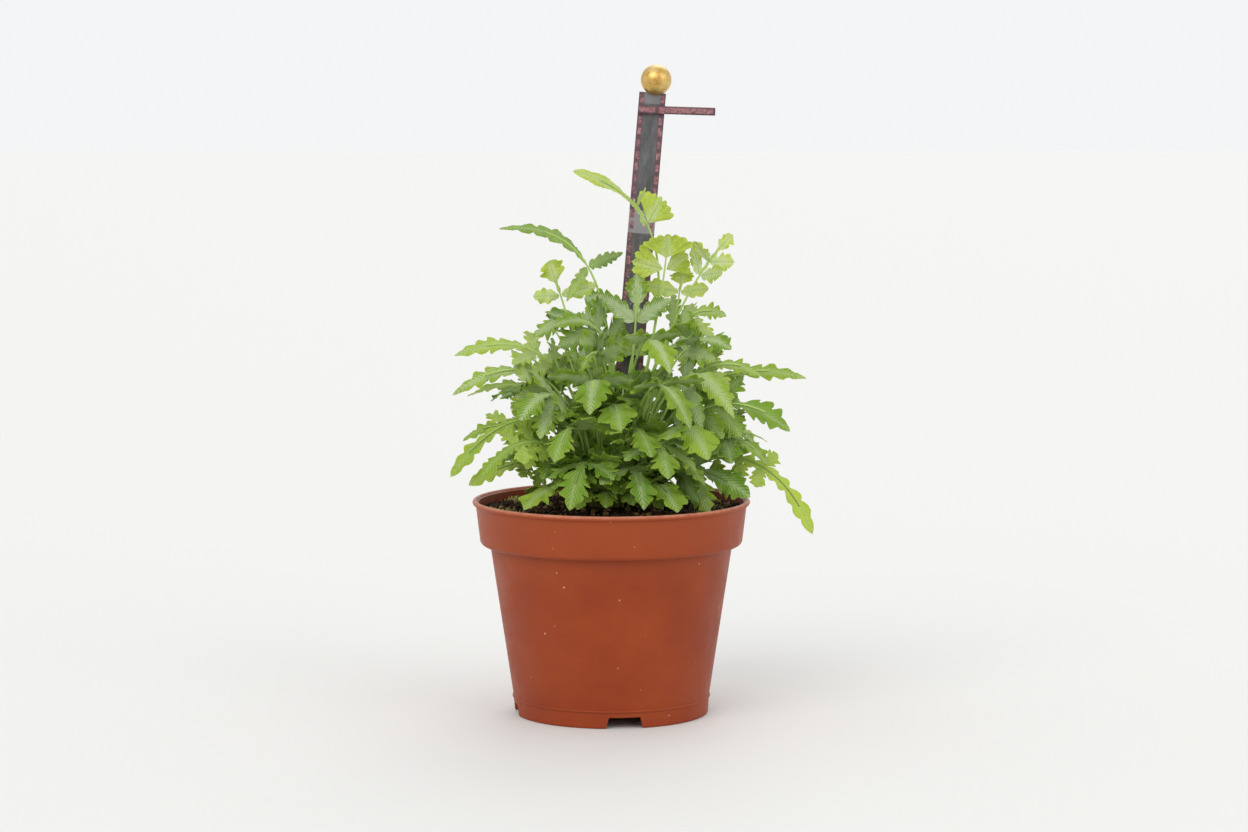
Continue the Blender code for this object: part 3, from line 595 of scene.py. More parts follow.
def makeCrown():
    centre = (crown["low"] + crown["high"]) / 2
    half = (crown["high"] - crown["low"]) / 2
    bm = bmesh.new()
    bmesh.ops.create_uvsphere(bm, u_segments=96, v_segments=48, radius=1.0)
    bmesh.ops.scale(bm, vec=half, verts=bm.verts)
    bmesh.ops.translate(bm, vec=centre, verts=bm.verts)
    for corner in bm.verts:
        spot = corner.co / mm
        knobs = noise.fractal(spot / 3.2, 0.7, 2.0, 4)
        corner.co += (corner.co - centre).normalized() * (0.7 * knobs - 0.3) * mm
    # old stalk bases and chaff standing on the clump
    draw = random.Random(5)
    for i in range(crown["chaffCount"]):
        angle, reach = draw.uniform(0, math.tau), math.sqrt(draw.random()) * 0.92
        x = centre.x + half.x * reach * math.cos(angle)
        y = centre.y + half.y * reach * math.sin(angle)
        z = centre.z + half.z * math.sqrt(1 - reach * reach)
        lean = randomLean(draw, 0.8)
        size = draw.uniform(0.25, 0.6) * mm
        bmesh.ops.create_cone(bm, cap_ends=True, segments=5, radius1=size, radius2=size * 0.25,
                              depth=draw.uniform(1.2, 3.6) * mm, matrix=Matrix.Translation((x, y, z)) @ lean)
    bark = peatLook("scalyRootstock", "#1c120a", "#3b2715", "#7a5a35")
    finishPiece("fernRootstock", bm, [bark], "fern_crown")


makeCrown()
print("crown done")


marker = {
    "width": 11.6,
    "thickness": 1.4,
    "aboveSoil": 179.9,
    "buried": 54.0,
    "point": 12.0,
    "lean": 4.8,               # degrees
    "foot": (2.9, 19.5),
    "tangWidth": 2.4,
    "tangHeight": 5.0,
    "armLength": 33.5,
    "armHeight": 3.4,
    "armThickness": 1.4,
    "armBelowTop": 7.4,
    "armTilt": -3.0,           # degrees
    "ballRadius": 6.65,
    "ballSeat": 1.4,           # how far the ball sits down over the strip's end
    "ballOffset": 1.0,
    "dashPitch": 5.1,
    "dashLength": 3.3,
    "dashWidth": 1.6,
    "dashInset": 1.35,         # of a dash's middle from the strip's edge
    "paint": 0.16,             # thickness of a dash, half of it in the board
    "gap": 0.3,
}


def markerPlace():
    foot = Vector((*marker["foot"], soilTop)) * mm
    return Matrix.Translation(foot) @ Matrix.Rotation(math.radians(marker["lean"]), 4, "Y")


# painted board: charcoal paint, thin and streaky, darkening to plum along both edges,
# with a paler window at the top, a paler band half way and pale scratches below it
def boardLook():
    look, tree = newMaterial("charcoalPaintedBoard")
    place = placeOn(tree)
    foot = Vector((*marker["foot"], soilTop)) * mm + potAxis
    local = addNode(tree, "ShaderNodeMapping", {
        "Vector": place, "Location": foot, "Rotation": (0, math.radians(marker["lean"]), 0)},
        vector_type="TEXTURE").outputs[0]
    parts = addNode(tree, "ShaderNodeSeparateXYZ", {0: local})
    across = maths(tree, "ABSOLUTE", parts.outputs["X"])
    along = parts.outputs["Z"]
    stretch = addNode(tree, "ShaderNodeMapping", {"Vector": local, "Scale": (1.0, 1.0, 0.25)}).outputs[0]
    streaks = mottled(tree, stretch, 2.4, 6.0, 0.65)
    colour = toned(tree, streaks, (0.30, "#3c3a3c"), (0.55, "#525052"), (0.80, "#6c6a6d"))
    edge = ranged(tree, across, 3.2 * mm, 3.8 * mm)
    plum = blended(tree, streaks, hexColour("#38232b"), hexColour("#68484f"))
    colour = blended(tree, edge, colour, plum)
    inside = maths(tree, "SUBTRACT", 1.0, edge)
    smear = mottled(tree, local, 3, 7.0, 0.75, 1.5)
    scratch = ranged(tree, smear, 0.56, 0.64)
    # heights above the soil in mm: lower edge, upper edge, softness, strength, colour, mask
    top = marker["aboveSoil"]
    bands = [
        (top - 5.0, top + 9, 0.4, 0.45, "#8a888b", inside),
        (118.5, 129, 0.5, 0.62, "#a09ca2", None),
        (80, 118, 4, 0.55, "#b3b0b6", scratch),
    ]
    for low, high, soft, strength, tint, mask in bands:
        lower = ranged(tree, along, low * mm, (low + soft) * mm, high=strength)
        upper = ranged(tree, along, high * mm, (high - soft) * mm)
        band = maths(tree, "MULTIPLY", lower, upper)
        if mask:
            band = maths(tree, "MULTIPLY", band, mask)
        colour = blended(tree, band, colour, hexColour(tint))
    bump = raised(tree, streaks, 0.35, 0.12)
    addSurface(tree, {"Base Color": colour, "Roughness": 0.55, "Normal": bump, "IOR": 1.5})
    return look


# matt rose paint over a darker ground: broken, chalky, a little uneven
def roseLook():
    look, tree = newMaterial("chalkyRosePaint")
    place = placeOn(tree)
    chalk = mottled(tree, place, 1.3, 5.0, 0.7)
    colour = toned(tree, chalk, (0.34, "#4e3339"), (0.52, "#8f6064"), (0.74, "#b58a89"))
    bump = raised(tree, chalk, 0.4, 0.1)
    addSurface(tree, {"Base Color": colour, "Roughness": 0.68, "Normal": bump})
    return look


# antique brass: warm gold rubbed to a soft satin, with fine brown specks of tarnish
def brassLook():
    look, tree = newMaterial("antiqueBrass")
    place = placeOn(tree)
    cloud = mottled(tree, place, 7, 3.0, 0.5)
    specks = mottled(tree, place, 0.7, 4.0, 0.7)
    tarnish = maths(tree, "MULTIPLY_ADD", specks, 0.5, cloud)
    colour = toned(tree, tarnish, (0.50, "#96682c"), (0.72, "#cfa95f"), (0.95, "#e6cd90"))
    bump = raised(tree, specks, 0.25, 0.08)
    addSurface(tree, {"Base Color": colour, "Metallic": 1.0, "Roughness": 0.42, "Normal": bump})
    return look


def roundEdges(bm, radius, segments):
    bmesh.ops.bevel(bm, geom=bm.edges[:], offset=radius * mm, affect="EDGES",
                    segments=segments, profile=0.5, material=-1)


def makeMarker():
    place = markerPlace()
    half = marker["width"] / 2
    tang = marker["tangWidth"] / 2
    top = marker["aboveSoil"]
    bm = bmesh.new()
    shift = marker["ballOffset"]
    outline = [(0, -marker["buried"]), (half, marker["point"] - marker["buried"]), (half, top),
               (shift + tang, top), (shift + tang, top + marker["tangHeight"]),
               (shift - tang, top + marker["tangHeight"]), (shift - tang, top),
               (-half, top), (-half, marker["point"] - marker["buried"])]
    corners = [bm.verts.new((x * mm, -marker["thickness"] / 2 * mm, z * mm)) for x, z in outline]
    face = bm.faces.new(corners)
    grown = bmesh.ops.extrude_face_region(bm, geom=[face])["geom"]
    moved = [part for part in grown if isinstance(part, bmesh.types.BMVert)]
    bmesh.ops.translate(bm, vec=(0, marker["thickness"] * mm, 0), verts=moved)
    bmesh.ops.recalc_face_normals(bm, faces=bm.faces)
    roundEdges(bm, 0.22, 2)

    # rose dashes, a brush stroke each, a hair proud of the board, and one above the arm
    draw = random.Random(3)
    count = int((top - 12) / marker["dashPitch"])
    heights = [top - 2.8] + [top - 12.0 - marker["dashPitch"] * i for i in range(count - 1)]
    for side in (-1, 1):
        for height in heights:
            z = height + draw.uniform(-0.3, 0.3)
            x = side * (half - marker["dashInset"] + draw.uniform(-0.12, 0.12))
            wide, tall = draw.uniform(0.8, 1.1), draw.uniform(0.85, 1.1)
            size = (marker["dashWidth"] * wide, marker["paint"], marker["dashLength"] * tall)
            for faceSide in (-1, 1):
                spot = Matrix.Translation(Vector((x, faceSide * marker["thickness"] / 2, z)) * mm)
                tilt = Matrix.Rotation(draw.uniform(-0.06, 0.06), 4, "Y")
                made = addBlock(bm, size, spot @ tilt)
                paintFaces(made, 1)
    bmesh.ops.transform(bm, matrix=place, verts=bm.verts)
    finishPiece("markerStrip", bm, [boardLook(), roseLook()], "marker_stake", 40)

    arm = bmesh.new()
    depth = -(marker["thickness"] + marker["armThickness"]) / 2 - marker["gap"]
    pivot = Vector((0, depth, top - marker["armBelowTop"])) * mm
    tilt = Matrix.Translation(pivot) @ Matrix.Rotation(math.radians(marker["armTilt"]), 4, "Y")
    middle = Matrix.Translation(((marker["armLength"] - marker["width"]) / 2 * mm, 0, 0))
    addBlock(arm, (marker["armLength"], marker["armThickness"], marker["armHeight"]), tilt @ middle)
    roundEdges(arm, 0.4, 3)
    # rose fields: over the strip, a fuller one at the strip's edge, a long one along the arm
    fields = [
        (-half + 3.9, 7.0, 2.0),
        (half - 1.2, 2.7, 2.9),
        (marker["armLength"] - half - 11.3, 20.6, 2.1),
    ]
    for x, length, height in fields:
        for faceSide in (-1, 1):
            spot = Matrix.Translation(Vector((x, faceSide * marker["armThickness"] / 2, 0)) * mm)
            made = addBlock(arm, (length, marker["paint"], height), tilt @ spot)
            paintFaces(made, 1)
    bmesh.ops.transform(arm, matrix=place, verts=arm.verts)
    finishPiece("markerArm", arm, [armGround(), bpy.data.materials["chalkyRosePaint"]],
                "marker_arm", 40)

    ball = bmesh.new()
    bmesh.ops.create_uvsphere(ball, u_segments=72, v_segments=40, radius=marker["ballRadius"] * mm)
    for corner in ball.verts:
        corner.co *= 1 + 0.004 * noise.noise(corner.co / (3.0 * mm))
    lift = Vector((shift, 0, top - marker["ballSeat"] + marker["gap"] + marker["ballRadius"])) * mm
    bmesh.ops.translate(ball, vec=lift, verts=ball.verts)
    bmesh.ops.transform(ball, matrix=place, verts=ball.verts)
    finishPiece("brassBall", ball, [brassLook()], "marker_ball")


# the dark ground of the arm: plum paint, mottled lighter and darker
def armGround():
    look, tree = newMaterial("plumPaint")
    place = placeOn(tree)
    chalk = mottled(tree, place, 1.8, 5.0)
    colour = toned(tree, chalk, (0.35, "#3f2a31"), (0.65, "#6e4a50"))
    addSurface(tree, {"Base Color": colour, "Roughness": 0.6})
    return look


makeMarker()
print("marker done")


# leaf kinds, as the solids have them: leaflet pairs, leaflet length and half width in mm,
# the end leaflet's share of the blade and half width, the angle of the leaflets, their
# droop, and the half width of the first upper leaflet
kindFields = ("pairs", "leaflet", "half", "end", "endHalf", "spread", "droop", "first")
leafKinds = {
    "crest": (2, 14, 1.7, 0.52, 2.4, 27, 0.0, 6.2),
    "plume": (1, 17, 2.4, 0.80, 2.6, 104, 0.05, 2.6),
    "sprig": (1, 15, 3.0, 0.64, 5.4, 64, 0.05, 3.4),
    "fan": (1, 15, 5.4, 0.68, 7.6, 47, 0.05, 5.4),
    "young": (2, 14, 3.4, 0.44, 3.6, 46, 0.05, 3.6),
    "broad": (1, 19, 5.4, 0.72, 7.4, 60, 0.20, 5.4),
    "lobed": (2, 20, 5.0, 0.48, 6.0, 56, 0.18, 5.0),
    "strap": (1, 22, 3.7, 0.68, 4.4, 48, 0.16, 3.7),
    "wand": (2, 18, 3.6, 0.50, 3.5, 52, 0.14, 3.6),
    "lace": (3, 12, 3.4, 0.32, 3.4, 58, 0.12, 3.4),
    "crozier": (0, 0, 0, 0.60, 1.5, 0, 0.0, 0),
    "sprout": (2, 12, 4.2, 0.50, 4.6, 56, 0.10, 4.2),
}
leafKinds = {kind: dict(zip(kindFields, row)) for kind, row in leafKinds.items()}

# outlines: where a leaflet is widest, how full it is below that and how pointed above it,
# its width at the root, lobes a side, their depth, how far they lean forward, half the
# width of the wing along the stalk in mm, and how strong the pale streak is, partly
# variegation and partly painted sheen
shapeFields = ("peak", "full", "point", "root", "lobes", "depth", "lean", "wing", "pale")
leafShapes = {
    "crest": (0.60, 0.70, 0.70, 0.30, 2, 0.25, 0.9, 1.0, 0.05),
    "plume": (0.30, 0.60, 0.80, 0.50, 5, 0.50, 1.2, 1.3, 0.0),
    "sprig": (0.52, 0.80, 0.62, 0.16, 3, 0.34, 0.35, 0.8, 0.3),
    "fan": (0.80, 0.90, 0.45, 0.06, 2, 0.26, 0.3, 0.6, 0.2),
    "young": (0.52, 0.75, 0.66, 0.18, 3, 0.46, 0.45, 1.0, 0.35),
    "broad": (0.38, 0.60, 0.75, 0.34, 4, 0.42, 1.2, 1.6, 0.55),
    "lobed": (0.40, 0.60, 0.78, 0.40, 4, 0.62, 1.4, 2.4, 0.45),
    "strap": (0.42, 0.50, 1.00, 0.40, 5, 0.36, 1.2, 1.5, 0.55),
    "wand": (0.36, 0.55, 0.85, 0.46, 4, 0.64, 1.5, 2.6, 0.38),
    "lace": (0.50, 0.60, 0.70, 0.34, 3, 0.62, 1.0, 2.8, 0.3),
    "crozier": (0.5, 0.5, 1.0, 0.0, 1, 0.0, 0.0, 0.0, 0.2),
    "sprout": (0.42, 0.60, 0.75, 0.40, 3, 0.60, 1.3, 2.0, 0.25),
}
leafShapes = {kind: dict(zip(shapeFields, row)) for kind, row in leafShapes.items()}

# which of the three greens each kind wears
leafGreens = {
    "crest": "young", "plume": "mature", "sprig": "young", "fan": "young", "young": "young",
    "broad": "mature", "lobed": "mature", "strap": "mature", "wand": "fresh", "lace": "fresh",
    "crozier": "young", "sprout": "mature",
}

# the planting plan that the solids follow, in mm from the pot's axis and up from the soil:
# leaf kind, where the stalk bends, where its tip ends, leafy length, roll to the front
plan = [
    ("crest", (44, -4, 130), (-16, -8, 147), 44, 55),
    ("plume", (6, -4, 127), (-48, -6, 122), 52, 50),
    ("sprig", (-20, -6, 92), (-27, -8, 108), 24, 80),
    ("crozier", (-15, -9, 66), (-24, -9, 78), 9, 0),
    ("fan", (24, -6, 94), (24, -7, 119), 20, 0),
    ("sprig", (31, 3, 84), (30, 3, 103), 14, 0),
    ("young", (33, -2, 102), (52, -3, 119), 30, 50),
    ("strap", (12, -10, 84), (11, -12, 103), 28, 0),
    ("lobed", (6, -8, 94), (-24, -14, 80), 38, 45),
    ("lobed", (0, -18, 88), (-14, -26, 62), 30, 0),
    ("wand", (24, 4, 96), (50, 4, 84), 36, 40),
    ("lobed", (30, -8, 88), (51, -12, 70), 32, 45),
    ("broad", (14, -26, 100), (24, -40, 62), 34, 0),
    ("broad", (18, -34, 80), (33, -48, 40), 32, 0),
    ("strap", (32, -20, 84), (51, -30, 42), 36, 50),
    ("wand", (-22, -6, 86), (-67, -12, 68), 48, 40),
    ("wand", (-24, -16, 80), (-68, -22, 53), 46, 50),
    ("wand", (-26, 8, 66), (-62, 8, 48), 40, 30),
    ("broad", (-6, -32, 80), (-9, -46, 46), 32, 0),
    ("lobed", (-22, -24, 70), (-38, -36, 42), 32, 30),
    ("lace", (-34, -18, 62), (-69, -26, 18), 46, 45),
    ("lace", (-34, -30, 48), (-54, -38, 18), 34, 40),
    ("lace", (-30, -12, 32), (-61, -18, 13), 38, 35),
    ("wand", (36, 0, 70), (84, -4, 58), 50, 45),
    ("wand", (32, -14, 76), (64, -18, 61), 36, 40),
    ("lobed", (40, -18, 64), (77, -24, 38), 42, 50),
    ("broad", (34, -28, 56), (45, -38, 26), 26, 20),
    ("lace", (66, -16, 42), (86, -20, -8), 52, 55),
    ("lobed", (34, -16, 28), (60, -24, 9), 30, 45),
    ("lobed", (-12, -34, 38), (-17, -53, 7), 32, 0),
    ("lobed", (10, -34, 34), (14, -54, 7), 32, 0),
    ("broad", (20, -30, 22), (28, -47, 5), 24, 0),
    ("broad", (-24, -26, 20), (-36, -40, 4), 24, 0),
    ("strap", (24, -22, 26), (37, -35, 3), 24, 0),
    ("lobed", (12, -30, 54), (23, -48, 28), 30, 0),
    ("lobed", (-14, -30, 56), (-24, -46, 26), 30, 0),
    ("broad", (0, -28, 64), (4, -48, 40), 28, 0),
    ("lobed", (24, 28, 84), (34, 48, 62), 36, 0),
    ("lobed", (-12, 26, 80), (-24, 50, 56), 36, 0),
    ("wand", (-2, 34, 64), (-4, 60, 40), 42, 0),
    ("lobed", (30, 24, 64), (54, 42, 42), 36, 20),
    ("lobed", (-28, 22, 66), (-54, 38, 44), 36, 20),
    ("lobed", (24, 30, 38), (38, 54, 18), 34, 0),
    ("lace", (-22, 30, 38), (-38, 52, 16), 38, 0),
    ("lobed", (-12, 34, 28), (-12, 60, 14), 32, 0),
    ("wand", (40, 16, 46), (68, 26, 26), 38, 30),
    ("wand", (-40, 14, 46), (-66, 22, 28), 38, 30),
    ("broad", (4, 24, 100), (12, 38, 86), 28, 0),
    ("lobed", (-10, 20, 96), (-28, 32, 82), 32, 10),
    ("lobed", (18, -34, 48), (22, -54, 20), 28, 0),
    ("lobed", (42, -22, 46), (58, -36, 23), 30, 20),
    ("lobed", (-28, -22, 40), (-48, -32, 22), 30, 20),
    ("lobed", (46, -4, 48), (66, -6, 26), 32, 20),
    ("lobed", (10, 34, 22), (20, 56, 8), 30, 0),
]

# the steps by which a solid's stalk may be turned or lifted, and a leaflet shortened,
# raised or swung, until it hangs clear of its neighbours
growth = {
    "stalkHalf": 0.7,
    "sheet": 0.8,
    "steps": (0.34, 0.70, 1.0),
    "widths": (1.0, 0.82, 0.30),
    "stalkTurns": (0, 3, -3, 6, -6, 10, -10, 15, -15, 20, -20, 26, -26),
    "stalkLifts": (0, 4, -4, 8, 12, 17, 23),
    "scales": (1.0, 0.85, 0.7, 0.55, 0.42, 0.3, 0.2, 0.12),
    "lifts": (0, 12, -12, 24, -24, 38, -38, 54, -54, 75),
    "swings": (0, 14, -14, 28, -28),
}

foliage = {
    "rows": 52,             # steps along a leaflet
    "columns": 8,           # steps across it
    "thickness": 0.24,
    "widen": 1.18,          # lobed outlines are drawn a little wider than their solids
    "fanWiden": 1.3,        # and fans a little wider again
    "stalkRadius": 0.74,
    "stalkTip": 0.32,
    "teeth": 0.36,
    "toothPitch": 1.3,
    "crinkle": 0.55,
    "veinPitch": 1.6,
    "sproutCount": 44,      # small inner fronds
    "lowSprouts": 16,
    "sproutsPerPiece": 11,
}


def placeStalk(frond, bud, turn, lift):
    spin = Matrix.Rotation(math.radians(turn), 3, "Z")
    bend = Vector(frond["bend"]) + up * (soilTop + 0.6 * lift)
    tip = Vector(frond["tip"]) + up * (soilTop + lift)
    bend = bud + spin @ (bend - bud)
    tip = bud + spin @ (tip - bud)
    rise = (bend - bud) * 0.28
    rise.z = (bend.z - bud.z) * 0.5
    frond["curve"] = (bud, bud + rise, bend, tip)
    ahead = (tip - bend).normalized()
    flat = Vector((ahead.x, ahead.y, 0))
    if flat.length < 0.35:
        flat = Vector((tip.x, tip.y, 0)) * 0.0002 + Vector((0, -0.01, 0))
    frond["side"] = flat.cross(up).normalized()
    length = sum((stalkPoint(frond, (i + 1) / 24) - stalkPoint(frond, i / 24)).length for i in range(24))
    frond["length"] = length
    frond["bladeStart"] = max(0.3, 1 - frond["blade"] / length)
    frond["end"] = 1 - (1 - frond["bladeStart"]) * frond["kind"]["end"]


def stalkPoint(frond, t):
    a, b, c, d = frond["curve"]
    s = 1 - t
    return a * s ** 3 + b * 3 * s * s * t + c * 3 * s * t * t + d * t ** 3


def stalkTangent(frond, t):
    a, b, c, d = frond["curve"]
    s = 1 - t
    return (b - a) * 3 * s * s + (c - b) * 6 * s * t + (d - c) * 3 * t * t


# point, direction, side and upper side of the stalk at t
def stalkFrame(frond, t):
    ahead = stalkTangent(frond, t).normalized()
    side = (frond["side"] - ahead * frond["side"].dot(ahead)).normalized()
    over = side.cross(ahead)
    roll = frond["roll"] * min(1.0, t / frond["bladeStart"])
    towards = 1 if ahead.cross(over).y <= 0 else -1
    side = Matrix.Rotation(roll * towards, 3, ahead) @ side
    return stalkPoint(frond, t), ahead, side, side.cross(ahead)


# root, direction, across, length and half width of one leaflet
def leafletAxis(frond, pair, hand, scale, lift, swing):
    kind = frond["kind"]
    place = frond["bladeStart"] + (frond["end"] - frond["bladeStart"]) * pair / kind["pairs"]
    centre, ahead, side, over = stalkFrame(frond, place)
    channel = 2 * pair + (hand > 0)
    length = kind["leaflet"] * scale * (1 - 0.28 * pair / kind["pairs"])
    length *= 1 + 0.16 * jitter(frond["number"], channel)
    spread = math.radians(kind["spread"] + swing + 6 * jitter(frond["number"], 10 + channel))
    rise = math.radians(lift + 8 + 8 * jitter(frond["number"], 20 + channel))
    out = side * hand
    level = ahead * math.cos(spread) + out * math.sin(spread)
    along = level * math.cos(rise) + over * math.sin(rise)
    across = (ahead * math.sin(spread) - out * math.cos(spread)).normalized()
    wide = kind["first"] if pair == 0 and hand > 0 else kind["half"]
    return {
        "root": centre + out * growth["stalkHalf"], "along": along, "across": across, "length": length,
        "half": wide * (0.5 + 0.5 * scale), "droop": kind["droop"], "hand": hand,
    }


# point, heading, edge direction and upper side at a share of a leaflet's length
def leafletFrame(axis, share):
    spot = axis["root"] + axis["along"] * axis["length"] * share
    spot -= up * axis["droop"] * axis["length"] * share ** 2
    heading = (axis["along"] - up * axis["droop"] * 2 * share).normalized()
    edge = (axis["across"] - heading * axis["across"].dot(heading)).normalized()
    return spot, heading, edge, heading.cross(edge) * axis["hand"]


# how far the corners that a guess predicts lie from the solid's own corners
def misfit(corners, rows):
    total = 0.0
    for centre, edge, over, half in rows:
        for across in (-1, 1):
            for rise in (-1, 1):
                spot = centre + edge * across * half + over * rise * growth["sheet"] / 2
                total += corners.find(spot)[2]
    return total / len(rows) / 4


def stalkMisfit(frond, corners, bud, choice):
    placeStalk(frond, bud, *choice)
    rows = []
    for share, width in zip(growth["steps"][1:], growth["widths"][1:]):
        point, ahead, side, over = stalkFrame(frond, frond["end"] + (1 - frond["end"]) * share)
        rows.append((point, side, over, frond["kind"]["endHalf"] * width))
    return misfit(corners, rows)


def leafletMisfit(frond, corners, pair, hand, choice):
    axis = leafletAxis(frond, pair, hand, *choice)
    rows = []
    for share, width in zip(growth["steps"], growth["widths"]):
        spot, heading, edge, over = leafletFrame(axis, share)
        rows.append((spot, edge, over, axis["half"] * width))
    return misfit(corners, rows)


# read back from a frond's solid which turn, lift and leaflet sizes it settled on
def readGrowth(frond, node):
    spots = [(corner.co - potAxis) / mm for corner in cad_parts[node].data.vertices]
    corners = KDTree(len(spots))
    for i, spot in enumerate(spots):
        corners.insert(spot, i)
    corners.balance()
    centre = (crown["low"] + crown["high"]) / 2 / mm
    foot = [hit[0] for hit in corners.find_n(Vector((centre.x, centre.y, soilTop - 30)), 12)]
    rootRow = [spot for spot in foot if (spot - foot[0]).length < 2.2]
    low = Vector(map(min, zip(*rootRow)))
    high = Vector(map(max, zip(*rootRow)))
    bud = (low + high) / 2

    choices = [(turn, lift) for lift in growth["stalkLifts"] for turn in growth["stalkTurns"]]
    best = min(choices, key=lambda choice: stalkMisfit(frond, corners, bud, choice))
    if stalkMisfit(frond, corners, bud, best) > 0.3:
        print(node, "is not where its plan says")
    placeStalk(frond, bud, *best)

    frond["leaflets"] = []
    sizes = [(scale, lift, swing) for scale in growth["scales"]
             for lift in growth["lifts"] for swing in growth["swings"]]
    for pair in range(frond["kind"]["pairs"]):
        for hand in (1, -1):
            chosen = min(sizes, key=lambda size: leafletMisfit(frond, corners, pair, hand, size))
            if leafletMisfit(frond, corners, pair, hand, chosen) < 0.5:
                frond["leaflets"].append(leafletAxis(frond, pair, hand, *chosen))


# width of a leaflet's outline at a share of its length, from 0 to 1
def outlineWidth(shape, share):
    if share >= 1:
        return 0.0
    if share < shape["peak"]:
        swell = math.sin(math.pi / 2 * share / shape["peak"]) ** shape["full"] if share > 0 else 0.0
        return shape["root"] + (1 - shape["root"]) * swell
    return math.cos(math.pi / 2 * (share - shape["peak"]) / (1 - shape["peak"])) ** shape["point"]


# a lobed margin: round lobes that lean forward, with narrow bays between them
def lobeCut(shape, lobes, share, seed, hand):
    beat = (share * lobes * (1 + 0.12 * jitter(seed, 42 + hand)) + 0.5 * jitter(seed, 45 + hand)) % 1.0
    swell = math.sin(math.pi * beat ** 1.35) ** 0.6
    return (1 - swell) * shape["depth"] * smoothStep(1.0, 0.86, share)


# what the leaf finish reads: place on the leaf, and its tone, share and pale streak, partly variegation and
# partly painted sheen
def leafLayers(bm):
    layers = bm.verts.layers.float_vector
    return [layers.get(name) or layers.new(name) for name in ("leafMap", "leafTone")]


def thicken(bm, corners):
    faces = list({face for corner in corners for face in corner.link_faces})
    bmesh.ops.solidify(bm, geom=faces, thickness=foliage["thickness"] * mm)


# a round fan: a grid wrapped into a sector, its far edge scalloped, pleated from the root
def addFan(bm, frameAt, length, half, seed, streakAndSheen):
    placeLayer, toneLayer = leafLayers(bm)
    made = bmesh.ops.create_grid(bm, x_segments=20, y_segments=30, size=0.5)
    tone = 0.5 + 0.5 * jitter(seed, 40)
    opening = math.asin(min(0.96, half / length))
    lobes = 2.5 + (jitter(seed, 53) > 0)
    for corner in made["verts"]:
        share = max(0.03, corner.co.x + 0.5)
        swing = corner.co.y * 2
        hand = 1 if swing >= 0 else -1
        scallop = 1.06 - 0.13 * (1 - abs(math.cos(lobes * math.pi * swing))) ** 1.5 * share ** 2
        notch = 1 - 0.03 * (1 - abs(math.cos(3 * lobes * math.pi * swing))) * share ** 3
        radius = share * scallop * notch * (1 + 0.08 * jitter(seed, 54 + hand) * abs(swing))
        spot, heading, edge, over = frameAt(radius * math.cos(opening * swing))
        out = radius * length * abs(math.sin(opening * swing))
        height = 0.22 * share * math.cos(2 * lobes * math.pi * swing) - 0.08 * out * abs(swing)
        height += foliage["crinkle"] * share * noise.noise(Vector((share * 4, swing * 3, seed)))
        height -= 0.05 * length * share ** 3
        corner.co = (spot + edge * hand * out + over * height) * mm
        corner[placeLayer] = (share * length, out, share)
        corner[toneLayer] = (tone, share, streakAndSheen)
    thicken(bm, made["verts"])


# a grid bent onto a leaf's axis, cut into lobes and teeth, crinkled and cupped;
# widthAt gives its half width in mm at a share of its length
def addBlade(bm, frameAt, widthAt, shape, lobes, length, seed, streakAndSheen):
    placeLayer, toneLayer = leafLayers(bm)
    made = bmesh.ops.create_grid(bm, x_segments=foliage["rows"], y_segments=foliage["columns"], size=0.5)
    tone = 0.5 + 0.5 * jitter(seed, 40)
    cup = 0.14 + 0.12 * jitter(seed, 41)
    twist = 0.45 * jitter(seed, 51)
    curl = 0.07 * jitter(seed, 52)
    wave = 6 * tone
    for corner in made["verts"]:
        share = corner.co.x + 0.5
        hand = 1 if corner.co.y >= 0 else -1
        reach = abs(corner.co.y) * 2
        full = widthAt(share)
        cut = lobeCut(shape, lobes, share, seed, hand)
        width = full * (1 - cut * reach)
        tooth = (share * length / foliage["toothPitch"] + 0.4 * hand) % 1.0 - 0.5
        width += tooth * foliage["teeth"] * smoothStep(0.75, 1.0, reach) * smoothStep(1.0, 0.9, share)
        width = max(width, 0.25 * (1 - share))
        lean = shape["lean"] * 0.5 * reach * full / length * (1 - cut) * smoothStep(1.0, 0.55, share)
        spot, heading, edge, over = frameAt(min(1.0, share + lean))
        turn = twist * share
        tilted = edge * math.cos(turn) + over * math.sin(turn)
        over = over * math.cos(turn) - edge * math.sin(turn)
        out = reach * width
        height = 0.14 * out - cup * reach * out
        height += 0.16 * out * reach * math.sin(math.tau * (share * lobes * 0.6 + 0.3 * hand) + wave)
        crinkle = noise.noise(Vector((share * length / 3, hand * out / 3, seed)))
        height += foliage["crinkle"] * reach * crinkle
        ripple = math.sin(math.tau * (share * length - 0.9 * out) / foliage["veinPitch"])
        height += 0.10 * ripple * smoothStep(0, 0.4, reach)
        height += curl * length * share ** 2.5
        corner.co = (spot + tilted * hand * out + over * height) * mm
        corner[placeLayer] = (share * length, out, reach)
        corner[toneLayer] = (tone, share, streakAndSheen)
    thicken(bm, made["verts"])


# the stalk: a thin round tube from the bud to part way along the end leaflet
def addStalk(bm, frond, until):
    steps = 22
    points = [stalkPoint(frond, until * i / steps) * mm for i in range(steps + 1)]
    ratio = foliage["stalkTip"] / foliage["stalkRadius"]
    made = addThread(bm, points, foliage["stalkRadius"] * mm, sides=8, tip=ratio)
    paintFaces(made, 1)


# a young frond still rolled up: a spiral that tapers to its eye
def addCrozier(bm, frond):
    point, ahead, side, over = stalkFrame(frond, 1.0)
    centre = point + over * 2.0
    points = []
    for i in range(40):
        share = i / 39
        angle = -math.pi / 2 + share * math.tau * 1.4
        radius = 2.0 * (1 - 0.72 * share)
        points.append((centre + ahead * radius * math.cos(angle) + over * radius * math.sin(angle)) * mm)
    addThread(bm, points, 0.75 * mm, sides=8, tip=0.55)


